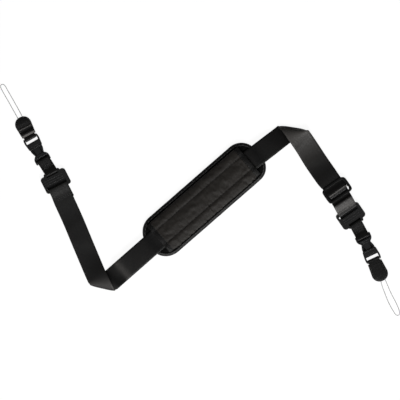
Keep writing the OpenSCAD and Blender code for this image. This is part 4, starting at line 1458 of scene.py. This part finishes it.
@dataclass
class DoubledWebbing:
    """The two plies between the adjuster and the right reducer, and their loop round its bar."""

    finishes: Finishes
    adjuster: Place
    bar: Place
    loose: float = 0.6
    shift: float = 0.45
    start_shift: float = -1.4
    half: float = 16.0
    leave: float = 11.2
    turn: float = 2.4
    span: float = 22.0
    steps: int = 18

    def build(self) -> None:
        """Make the loop round the reducer's bar, riding on a body of its own, and the plies that stretch to
        it.
        """
        out, origin = ahead(self.bar.angle + self.turn), self.bar.spot(0, self.shift)
        half = self.half
        line = [level(origin - self.bar.out * 4, 5.9, self.bar.out, 1, half, "start"),
                level(origin - out * 0.6, 4.98, out, 1, half)]
        line += half_turn(origin + out * self.loose, HIGH_Z, out, left_of(out) * half, -1, LOOP_MID)
        line += [level(origin, LOW_Z, -out, -1, half),
                 level(origin - self.bar.out * 4, LOW_Z, -self.bar.out, -1, half)]
        # The loop gets a painted highlight where it starts.
        bm = Tape(line, ease=2, step=1.5, crown=0.05, painted_light_swells=[Swell("start", 0, 3, 1.0)]).mesh()
        make("reducer_loop_right", bm, self.finishes.webbing, "webbing_loop", "webbing",
             "reducer_webbing_loop", sharp=WEBBING_CRISP)
        heights = [(0, 4.9), (3.2, 4.95), (6, 5.2), (8.2, 5.6), (9.2, 6.9), (10, 8.2), (10.8, 8.7),
                   (11.6, 8.65), *((k, 8.4 - (k - 12.4) * 0.3) for k in (12.4, 14, 16, 18, 20, 22))]
        # The top ply gets painted highlights where it slopes down to the reducer.
        self.ply("doubled_ply_top", self.leave, heights, half,
                 [Swell("start", 14, 2.6, 0.5), Swell("start", 19.5, 3.8, 1.2)], "doubled_webbing_top")
        self.ply("doubled_ply_bottom", 12.65, ((0, LOW_Z), (self.span, LOW_Z)), half - 1.6, [],
                 "doubled_webbing_bottom")

    def ply(self, name: str, leave: float, heights: Curve, half: float,
            painted_light_swells: Sequence[Swell], node: str) -> None:
        """Make one ply.

        Args:
            name: The piece's name.
            leave: How far past the adjuster's middle it starts.
            heights: Its height at each distance from there.
            half: Half its width at the reducer.
            painted_light_swells: Where highlights are painted on it.
            node: The CAD node it stands for.
        """
        start = self.adjuster.spot(leave, self.start_shift)
        end = self.bar.spot(-4, self.shift)
        before, after = self.adjuster.out, self.bar.out
        line = [level(start.lerp(end, t), profile(heights, t * self.span), before.lerp(after, t), 1,
                      WIDE_HALF + (half - WIDE_HALF) * t, "" if t else "start", True)
                for t in (k / self.steps for k in range(self.steps + 1))]
        bm = Tape(line, ease=0, step=3, crown=0.05, painted_light_swells=painted_light_swells).mesh()
        piece = finish(name, bm, self.finishes.webbing, sharp=WEBBING_CRISP)
        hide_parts(node)
        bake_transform(piece)


# ---- Hardware at each end ----
@dataclass
class EndPart:
    """A sub-assembly that each end of the strap has."""

    finishes: Finishes
    side: Side

    def make(self, name: str, bm: BMesh, material: Material, body: str, slot: str, nodes: str,
             place: Place | None = None, sharp: float = CRISP) -> Object:
        """Finish and fix a piece, a star in its names standing for the end's own name."""
        name, body, nodes = (text.replace("*", self.side.value) for text in (name, body, nodes))
        return make(name, bm, material, body, slot, nodes, place, sharp)


@dataclass
class Reducer(EndPart):
    """The moulded link between the wide webbing and the narrow one."""

    place: Place
    turn: float = 0.0
    width: float = 40.5
    thick: float = 4.0
    slot: tuple[float, float] = (-14.65, 16.45)
    pocket: float = 0.0
    plate: tuple[float, float] = (7.0, 19.3)
    back: float = -3.3
    wide_end: float = 23.0
    nose_end: float = 26.2
    nose_half: float = 12.0
    nose_in: float = 9.98
    nose_aside: float = 0.0
    slant: float = 0.0
    pitch: float = 24.0

    def outline(self) -> Outline:
        """Return the plate's outline with its open slots at both ends."""
        start, end = self.plate
        low, high = self.slot
        half = self.width / 2

        def flank(near: float, nose: float, wide_end: float) -> Outline:
            """Return one side's outline from its open slot to its nose."""
            return [(self.back, near, 0.8), (self.back, half, 4.4), (wide_end, half, 4.8),
                    (wide_end, self.nose_half + 1.4, 0.8), (self.nose_end, self.nose_half, 1.2),
                    (self.nose_end, nose, 0.3), (end, nose, 0.4)]

        upper = flank(high, self.nose_in + self.nose_aside, self.wide_end)
        lower = flank(-low, self.nose_in - self.nose_aside, self.wide_end + self.slant)
        lower = [(x, -y, r) for x, y, r in reversed(lower)]
        corner = [(start, low, 0.6)]
        if self.pocket:
            corner = [(2.2, low, 0.2), (2.7, low - self.pocket, 0.8), (5.0, low - self.pocket, 0.8),
                      (5.0, low + 0.8, 0.4), (start, low + 1.2, 0.3)]
        return [*upper, *lower, *corner, (start, high, 0.6)]

    def build(self) -> None:
        """Make the reducer."""
        low, high = BAR_Z - self.thick / 2, BAR_Z + self.thick / 2
        start = self.plate[0]
        body = block(self.outline(), low, high, 0.4)
        middle = sum(self.slot) / 2
        wide = (self.slot[1] - self.slot[0]) / 2
        ribs = [brick(x - 0.7, x + 0.7, middle - wide, middle + wide, high - 0.9, high + 0.1, 0.5, 0.3)
                for x in (8.9, 12.4, 15.9)]
        bars = [bar(0, 2 * wide + 1.4), bar(self.pitch, 2 * self.nose_in + 1.2)]
        bmesh.ops.translate(bars[0], verts=bars[0].verts, vec=(0, middle, 0))
        ledges = [brick(2.9, start + 1, self.slot[0] + 0.1, self.slot[1] + 0.4, low + 0.13, 1.5, 0.2, 0.1),
                  brick(18.4, 21.2, -self.nose_in - 0.43, self.nose_in + 0.43, low + 0.13, 1.5, 0.2, 0.1)]
        bm = fuse(body, bars + ribs + ledges)
        about = Vector((self.pitch / 2, 0, 0))
        turned = Matrix.Rotation(math.radians(self.turn), 3, "Z")
        bmesh.ops.rotate(bm, verts=bm.verts, cent=about, matrix=turned)
        piece = self.make("reducer_link_*", bm, self.finishes.plastic, "reducer_*", "buckle_plastic",
                          "reducer_*", self.place)
        polish(piece)


@dataclass
class NarrowWebbing(EndPart):
    """The narrow band between the reducer and the side-release buckle, sewn in the middle."""

    near: Place
    far: Place
    near_angle: float
    far_aside: float
    loose_near: float = 0.5
    loose_far: float = 0.6

    def build(self) -> None:
        """Make the band and its bar tack."""
        one, two = self.near, self.far
        gap = two.origin - one.origin
        along = gap.normalized()
        sewn = gap.length * 0.36
        ply = (WEB_T + 0.1) / 2
        back = -ahead(self.near_angle)
        line = half_turn(one.origin + back * self.loose_near, LOW_Z, back, left_of(back) * NARROW_HALF, 1,
                         LOOP_MID)
        run = ((sewn * 0.55, 1.5), (sewn, ply), (gap.length - sewn, ply), (gap.length - sewn * 0.55, 1.5))
        line += [level(one.origin + along * q, BAR_Z + z, along, -1, NARROW_HALF) for q, z in run]
        line += half_turn(two.spot(self.loose_far, self.far_aside), HIGH_Z, two.out,
                          left_of(two.out) * -NARROW_HALF, -1, LOOP_MID)
        line += [level(one.origin + along * q, BAR_Z - z, -along, 1, NARROW_HALF) for q, z in reversed(run)]
        band = Tape(line, closed=True, ease=2, step=1.6, columns=10).mesh()
        self.make("narrow_band_*", band, self.finishes.narrow, "narrow_webbing_*", "webbing",
                  "narrow_webbing_*", sharp=WEBBING_CRISP)
        bm = Seam(length=2.0, thread=0.24).rows((-2.2, -0.8, 0.8, 2.2), 7.6, BAR_Z + ply + WEB_T / 2, 2.3)
        middle = Place(one.origin + gap / 2, heading(along.x, along.y))
        self.make("bar_tack_*", bm, self.finishes.thread, "narrow_webbing_*", "thread", "bartack_*", middle)


@dataclass
class SideReleaseBuckle(EndPart):
    """The plug half with its two latch arms, and the socket half."""

    place: Place
    aside: float = 0.0
    plug_half: float = 12.1
    slot_half: float = 9.98
    base_x: float = 4.5
    pivot: tuple[float, float] = (10.4, 6.6)
    mouth: float = 20.6
    pitch: float = 37.8
    socket_half: float = 12.2
    socket_top: float = 5.6
    rail_in: float = 9.5
    see_through: float = 30.9
    end: float = 40.3
    arm_out: float = 9.6
    arm_end: float = 28.3
    hook: float = 22.55
    tongue: tuple[float, float] = (1.4, 4.2)

    def build(self) -> None:
        """Make both halves and the arms."""
        latch = self.finishes.latch
        self.piece("plug_*", self.plug(), latch, "buckle_plug_*", "buckle_plastic")
        for letter, sign in (("a", 1), ("b", -1)):
            self.piece(f"arm_{letter}_*", self.arm(sign), latch, f"latch_arm_*_{letter}", "latch_plastic")
        self.piece("socket_*", self.socket(), self.finishes.plastic, "buckle_socket_*", "buckle_plastic")

    def piece(self, name: str, bm: BMesh, material: Material, body: str, slot: str) -> None:
        """Finish one moulding, whose body and CAD node share a name."""
        bmesh.ops.translate(bm, verts=bm.verts, vec=(0, self.aside, 0))
        polish(self.make(name, bm, material, body, slot, body, self.place))

    def plug(self) -> BMesh:
        """Return the plug half: eared base, tongue and the thin floor under its arms."""
        low, high = BAR_Z - 2, BAR_Z + 2
        ear = self.plug_half
        base = mirrored([(-3.4, self.slot_half, 0.4), (-3.4, ear, 1.6), (5.8, ear, 3.0), (10.2, 7.7, 0.6)])
        base += [(self.base_x, -self.slot_half, 0.5), (self.base_x, self.slot_half, 0.5)]
        body = block(base, low, high, 0.5)
        tongue = block(mirrored([(7.5, 4.4, 0), (27, 4.4, 1.2), (28.9, 2.8, 0.8)]), *self.tongue, 0.35)
        floor = block(mirrored([(8, 6.6, 0), (12, 7.7, 0.5), (self.mouth + 0.7, 9.2, 0.5)]), 0.82, 1.3, 0.12)
        ridge = brick(5.6, 6.8, -7.5, 7.5, high - 0.5, high + 0.3, 0.4, 0.25)
        ledge = brick(2.9, 5.2, -self.slot_half - 0.4, self.slot_half + 0.4, low + 0.13, 1.5, 0.2, 0.1)
        pivots = [bmesh.new(), bmesh.new()]
        for hole, sign in zip(pivots, (-1, 1)):
            spot = Matrix.Translation((self.pivot[0], sign * self.pivot[1], 7.4))
            bmesh.ops.create_cone(hole, cap_ends=True, segments=20, radius1=1.15, radius2=1.15, depth=12,
                                  matrix=spot)
        return fuse(body, [tongue, floor, ridge, ledge, bar(0, 2 * self.slot_half + 1)], pivots)

    def arm(self, sign: int) -> BMesh:
        """Return one latch arm: a bowed finger with a thumb pad and a hook."""
        x, y = self.pivot
        out, inner = self.arm_out, self.arm_out - 2
        points = [(x - 0.9, y - 0.7, 0.4), (x + 0.4, y - 1.0, 0.4), (self.mouth, inner, 0.8),
                  (self.arm_end, inner, 0.5), (self.arm_end, out - 0.8, 0.3), (25.6, out + 1.1, 0.4),
                  (self.hook, out + 1.1, 0.3), (self.hook, out, 0.2), (self.mouth - 0.05, out, 0.3),
                  (18.6, out + 0.35, 1.2),
                  (15.5, out - 0.5, 1.2), (x + 0.5, y + 1.0, 0.6), (x - 0.9, y + 0.7, 0.4)]
        return block([(px, sign * py, r) for px, py, r in points], *self.tongue, 0.3)

    def socket(self) -> BMesh:
        """Return the socket half: a hollow shell with a mouth, two windows and a bar."""
        half, top = self.socket_half, self.socket_top
        outline = mirrored([(self.mouth, 9.9, 0.8), (self.mouth + 1.6, 10.9, 1.2), (27.5, 11.4, 2.5),
                            (32.3, half, 2.5), (self.end - 1.4, half - 0.4, 1.8),
                            (self.end, self.rail_in + 0.8, 0.4), (self.end, self.rail_in, 0.2),
                            (self.see_through, self.rail_in, 0.9)])
        shell = block(outline, 0.06, top, 0.75)
        lip = brick(self.mouth + 0.5, self.mouth + 2.3, -8.6, 8.6, top - 0.6, top + 0.25, 0.6, 0.3)
        shield = brick(24.2, 29.4, -6.4, 6.4, top - 0.6, top + 0.18, 1.6, 0.25)
        z0, z1 = self.tongue[0] - 0.2, self.tongue[1] + 0.2
        cavity = brick(self.mouth - 1, 29.35, -9.6, 9.6, z0, z1)
        sill = brick(self.mouth - 1, self.mouth + 0.9, -9.4, 9.4, 0.72, z1 - 0.1)
        windows = [brick(22.4, 28.65, near, near + 4.5, z0, z1) for near in (-14, 9.5)]
        bm = fuse(shell, [lip, shield, bar(self.pitch, 2 * self.rail_in + 1.2)])
        return fuse(bm, [], [cavity, sill, *windows])


@dataclass
class Tab(EndPart):
    """The sewn tab that holds the string: a fold round the buckle's bar and a rounded tongue."""

    place: Place
    angle: float
    aside: float = 0.0
    length: float = 34.6
    half: float = 12.5
    blunt: float = 2.15
    neck_half: float = 11.0
    fold_half: float = 9.1
    shoulder: float = 3.9
    cut_at: float = 18.0
    drop: float = 1.0
    bead_x: float = 22.0
    string_pitch: float = 7.2

    @property
    def round_x(self) -> float:
        """Return where the tab's rounded end begins."""
        return self.length - self.half

    def half_width(self, x: float) -> float:
        """Return half the tab's width at a distance from the bar."""
        if x > self.round_x:
            t = min(1.0, (x - self.round_x) / self.half)
            return self.half * (1 - t ** self.blunt) ** (1 / self.blunt)
        t = (x - self.shoulder) / (self.round_x - self.shoulder)
        return self.neck_half + (self.half - self.neck_half) * t

    def top(self, x: float) -> float:
        """Return the height of the tab's upper face at a distance from the bar."""
        plain = BAR_Z + 2.7 - self.drop * x / self.length
        if self.side is Side.RIGHT:
            return BAR_Z + 2.5 - profile(((3.5, 0.4), (7, -0.1), (26, -0.5), (self.length, -0.3)), x)
        cut = self.cut_at
        return plain + profile(((3.2, -1.2), (3.8, -1.1), (7.8, 1.9), (9.4, 1.9), (13.5, -0.3),
                                (cut - 1.6, -0.2), (cut - 0.9, 0.4), (cut, 0.35), (cut + 0.25, -1.1),
                                (26, -0.4), (self.length, -1.2)), x)

    def ring(self, x: float) -> list[Vector]:
        """Return the outline of the tongue's section at a distance from the bar."""
        wide, high, low = self.half_width(x), self.top(x), 0.12
        full = 0.35 + 0.65 * smooth((self.length - x) / 2.0) * smooth(0.55 + (x - self.shoulder) / 2.5)
        middle = low + (high - low) * 0.45
        points = []
        for y, z in squarish(40, 0.4, 0.5):
            y *= wide
            groove = 0.4 * bell(abs(y) - wide + 2.3, 0.5) if wide > 4 else 0.0
            rough = 0.14 * noise(Vector((x * 0.45, y * 0.45, 9 if self.side is Side.LEFT else 2)))
            reach = (high - middle) * full - groove + rough if z > 0 else (middle - low) * full
            points.append(Vector((x, y, middle + z * reach)))
        return points

    def tongue(self) -> BMesh:
        """Return the tab's flat part, a plump tongue with a rolled edge."""
        places = [self.shoulder + k * 0.75 for k in range(60)]
        places = [x for x in places if x < self.round_x - 0.4 and abs(x - self.cut_at) > 0.7]
        places += [self.cut_at + d for d in (-0.6, -0.3, 0.0, 0.14, 0.28, 0.6)]
        steps = 18
        places += [self.round_x + self.half * math.sin(math.pi / 2 * k / steps) for k in range(steps)]
        places = sorted(places) + [self.length - 0.01]
        # The left tab gets painted highlights: a thin line at the cut edge of its upper ply and a band near
        # its fold round the bar.
        shine = [bell(x - self.cut_at + 0.3, 0.7) + 1.2 * bell(x - 5.4, 2.0)
                 if self.side is Side.LEFT else 0.0 for x in places]
        return Lofted([self.ring(x) for x in places], shine=shine).mesh()

    def fold(self) -> BMesh:
        """Return the webbing that folds round the bar."""
        at = Place(Vector((0, self.aside, 0)), 0.0)
        out = at.out
        drops = (1.7, 0.8, 0) if self.side is Side.LEFT else (-0.1, 0, 0.2)
        line = [level(at.spot(x), HIGH_Z - z, -out, -1, self.fold_half)
                for x, z in zip((6.5, 3.4, 0.8), drops)]
        line += half_turn(at.origin, HIGH_Z, -out, left_of(out) * self.fold_half, -1, LOOP_MID)
        line += [level(at.spot(x), LOW_Z + z, out, 1, self.fold_half) for x, z in ((0.8, 0), (6.5, 0.1))]
        return Tape(line, ease=1, step=1.2).mesh()

    def build(self) -> None:
        """Make the tab, whose tongue also stands for its core, its stitches and the string's knot."""
        turned = Place(self.place.spot(0, self.aside), self.angle)
        bm, tongue = self.fold(), self.tongue()
        for part in (bm, tongue):
            bmesh.ops.recalc_face_normals(part, faces=part.faces)
        skew = Matrix.Rotation(math.radians(self.angle - self.place.angle), 4, "Z")
        turned_aside = Matrix.Translation((0, self.aside, 0)) @ skew
        bmesh.ops.transform(tongue, matrix=turned_aside, verts=tongue.verts)
        pour(tongue, bm)
        self.make("tab_tongue_*", bm, self.finishes.tab, "tab_*", "tab", "tab_* tab_filler_*", self.place,
                  TAPE_CRISP)
        self.make("tab_stitches_*", self.sewing(), self.finishes.thread, "tab_*", "thread", "tab_stitching_*",
                  turned)
        bead = bmesh.new()
        rod(bead, Vector((self.bead_x, -self.aside, 2.5)), self.string_pitch, STRING_D * 0.8, 12)
        self.make("string_bead_*", bead, self.finishes.string, "tab_*", "string", "string_knot_*", turned)

    def sewing(self) -> BMesh:
        """Return the stitches that run round the tongue, inside its edge."""
        bm = bmesh.new()
        seam = Seam(length=2.3, thread=0.25)
        x = 19.5 if self.side is Side.LEFT else 5.0
        last = None
        while x < self.length - 2.35:
            y = self.half_width(x) - 2.3 if x < self.round_x else self.half_width(x + 2.0) - 1.0
            spot = Vector((x, max(0.0, y), self.top(x) - 0.3))
            along = (spot - last).normalized() if last else Vector((1, 0, 0))
            for mirror in (Vector((1, -1, 1)), Vector((1, 1, 1))):
                seam.stitch(bm, spot * mirror, along * mirror)
            last = spot
            x += 3.3 * max(0.25, abs(along.x))
        return bm


LEFT_STRING = (
    (-277.6, 119.8), (-279.6, 123.8), (-282, 128.2), (-285, 133.4), (-289, 140.6), (-293.5, 148.6),
    (-298, 156.4), (-302, 163.4), (-304, 167.6), (-304.4, 170.6), (-302.4, 172.6), (-299.4, 172.2),
    (-297.2, 169.8), (-294.6, 165.2), (-290.4, 158), (-286, 150.2), (-281.6, 142.4), (-278, 136),
    (-275.4, 131.2), (-273.2, 127.2), (-271.2, 123.2))
RIGHT_STRING = (
    (265.8, -121.6), (266.8, -125.8), (268.2, -130.6), (270.2, -136), (273.2, -143.8), (276.4, -151.8),
    (280, -159.2), (284, -166.4), (287.2, -171.4), (290, -173.8), (293, -173.4), (294.4, -170.6),
    (293.4, -166), (290.6, -158.8), (286.8, -151), (282.8, -143.6), (279.8, -137.4), (277.2, -131.4),
    (274.6, -125.4), (272, -119.2))


@dataclass
class StringLoop(EndPart):
    """The thin braided loop at one end of the strap."""

    route: Curve
    rise: tuple[float, ...] = (2.2, 1.8, 1.0)
    low: float = 0.6
    step: float = 1.5
    sides: int = 10

    def line(self) -> list[Vector]:
        """Return points about a step apart on a smooth curve through the route."""
        last = len(self.route) - 1
        heights = dict(enumerate(self.rise))
        knots = [Vector((x, y, heights.get(min(i, last - i), self.low)))
                 for i, (x, y) in enumerate(self.route)]
        padded = [knots[0] * 2 - knots[1], *knots, knots[-1] * 2 - knots[-2]]
        made = []
        for p0, p1, p2, p3 in zip(padded, padded[1:], padded[2:], padded[3:]):
            count = max(2, round((p2 - p1).length / self.step))
            for k in range(count):
                t = k / count
                made.append(((p1 * 2) + (p2 - p0) * t + (p0 * 2 - p1 * 5 + p2 * 4 - p3) * t ** 2
                             + (p1 * 3 - p0 - p2 * 3 + p3) * t ** 3) * 0.5)
        made.append(knots[-1])
        return made

    def build(self) -> None:
        line = self.line()
        n = len(line)
        rings = []
        for i, here in enumerate(line):
            along = (line[min(i + 1, n - 1)] - line[max(i - 1, 0)]).normalized()
            side = along.cross(TABLE_UP).normalized()
            up = side.cross(along)
            rings.append([here + (side * math.cos(a) + up * math.sin(a)) * (STRING_D / 2)
                          for a in (2 * math.pi * k / self.sides for k in range(self.sides))])
        piece = self.make("string_*", Lofted(rings).mesh(), self.finishes.string, "tab_*", "string",
                          "string_loop_*")
        length = mileage(line)[-1] * MM
        log.info("string %s is %.1f mm long", self.side.value, length / MM)


# ---- Studio ----
@dataclass
class Studio:
    """Camera, pale floor and soft lamps."""

    look_at: tuple[float, float] = (-0.00525, -0.00075)
    span: float = 0.6
    height: float = 6.0
    sensor: float = 36.0
    clip_end: float = 60.0
    floor_half: float = 25.0

    def camera(self) -> None:
        """Make the camera straight above, framing the span."""
        data = bpy.data.cameras.new("camera")
        data.sensor_width = self.sensor
        data.lens = self.sensor * self.height / self.span
        data.clip_end = self.clip_end
        made = show("camera", data)
        made.location = (*self.look_at, self.height)
        bpy.context.scene.camera = made

    def floor(self) -> None:
        """Make the floor, white to the camera and pale to the lamps."""
        sheet = NodeSheet("studio_floor")
        path = sheet.add("LightPath").outputs
        mirrored_rays = sheet.math("MAXIMUM", path["Is Glossy Ray"], path["Is Transmission Ray"])
        seen = sheet.math("MAXIMUM", path["Is Camera Ray"], mirrored_rays)
        pale = sheet.add("BsdfDiffuse", Color=(0.8, 0.8, 0.8, 1))
        faint = sheet.add("BsdfDiffuse", Color=(0.09, 0.09, 0.09, 1))
        glow = sheet.add("Emission", Color=(1, 1, 1, 1), Strength=0.93)
        lit = sheet.fill(sheet.add("AddShader"), (faint.outputs[0], glow.outputs[0]))
        mixed = sheet.fill(sheet.add("MixShader"), (seen, pale.outputs[0], lit.outputs[0]))
        sheet.put(sheet.tree.nodes["Material Output"].inputs["Surface"], mixed.outputs[0])
        bm = bmesh.new()
        bmesh.ops.create_grid(bm, x_segments=4, y_segments=4, size=self.floor_half / MM)
        finish("studio_floor", bm, sheet.material)

    def lamp(self, name: str, spot: tuple[float, float, float], size: float, power: float) -> None:
        """Make one square soft lamp aimed at the strap."""
        data = bpy.data.lights.new(name, "AREA")
        data.size = size
        data.energy = power
        made = show(name, data)
        made.location = spot
        made.rotation_euler = (-Vector(spot)).to_track_quat("-Z", "Y").to_euler()

    def world(self) -> None:
        """Make the surroundings: dim overhead, brighter round the sides, white to the camera."""
        world = bpy.data.worlds.new("studio_world")
        bpy.context.scene.world = world
        world.use_nodes = True
        world.node_tree.nodes.clear()
        table = NodeTable(world.node_tree)
        toward = table.fill(table.add("VectorMath", {"operation": "DOT_PRODUCT"}),
                            (table.add("TexCoord").outputs["Generated"], (0.2, -0.87, 0.45)))
        strength = table.span(toward.outputs["Value"], 0.5, 1.0, 0.08, 1.2)
        rooms = [table.add("Background", Color=(1, 1, 1, 1), Strength=value).outputs[0]
                 for value in (strength, 1.0)]
        seen = table.add("LightPath").outputs["Is Camera Ray"]
        mixed = table.fill(table.add("MixShader"), (seen, *rooms))
        table.add("OutputWorld", Surface=mixed.outputs[0])

    def build(self) -> None:
        """Make the whole studio."""
        self.camera()
        self.floor()
        self.world()
        self.lamp("key_below", (0.8, -2.2, 1.85), 1.2, 92)
        self.lamp("fill_low_left", (-1.8, -1.3, 2.2), 2.2, 9)


def end_places(side: Side) -> dict[str, Place]:
    """Return the places of one end's bars, by what turns on them."""
    return {key: Place.at_hinge(f"{key}_hinge_{side.value}")
            for key in ("reducer", "narrow_webbing", "plug", "tab")}


def main() -> None:
    """Build the studio and every sub-assembly in order."""
    logging.basicConfig(level=logging.INFO, format="%(name)s: %(message)s")
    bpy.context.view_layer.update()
    bpy.context.scene.view_settings.view_transform = "Standard"
    Studio().build()
    finishes = Finishes()
    for side, route in ((Side.LEFT, LEFT_STRING), (Side.RIGHT, RIGHT_STRING)):
        StringLoop(finishes, side, route).build()
    pad_place = Place(Vector(), heading(*joint("pad_slide")["axis"][:2]))
    middle = sum(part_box("adjuster"), Vector()) / 2 / MM
    x, y = joint("adjuster_slide")["axis"][:2]
    adjuster_place = Place(Vector((middle.x, middle.y, 0)), heading(-x, -y))
    left, right = end_places(Side.LEFT), end_places(Side.RIGHT)
    StrapWebbing(finishes, left["reducer"], adjuster_place).build()
    Pad(finishes, Place(pad_place.spot(-0.1, -0.25), pad_place.angle)).build()
    Adjuster(finishes, adjuster_place).build()
    DoubledWebbing(finishes, adjuster_place, right["reducer"]).build()
    reducers = (Reducer(finishes, Side.LEFT, left["reducer"]),
                Reducer(finishes, Side.RIGHT, right["reducer"], turn=2.4, slot=(-15.1, 15.6), pocket=1.7,
                        width=40.1, wide_end=22.4, nose_aside=-0.5, slant=1.6))
    buckles = ({"aside": 0.6, "see_through": 31.2}, {"aside": 0.1, "see_through": 31.0})
    tabs = ({"angle": 117.4, "aside": 0.6, "length": 35.1, "shoulder": 4.3},
            {"angle": -65.7, "aside": -0.1, "length": 34.6, "shoulder": 3.9})
    for side, places, reducer, buckle, tab in zip(Side, (left, right), reducers, buckles, tabs):
        reducer.build()
        NarrowWebbing(finishes, side, places["narrow_webbing"], places["plug"],
                      places["reducer"].angle + reducer.turn, buckle["aside"]).build()
        SideReleaseBuckle(finishes, side, places["plug"], **buckle).build()
        Tab(finishes, side, places["tab"], **tab).build()


if __name__ == "__main__":
    main()
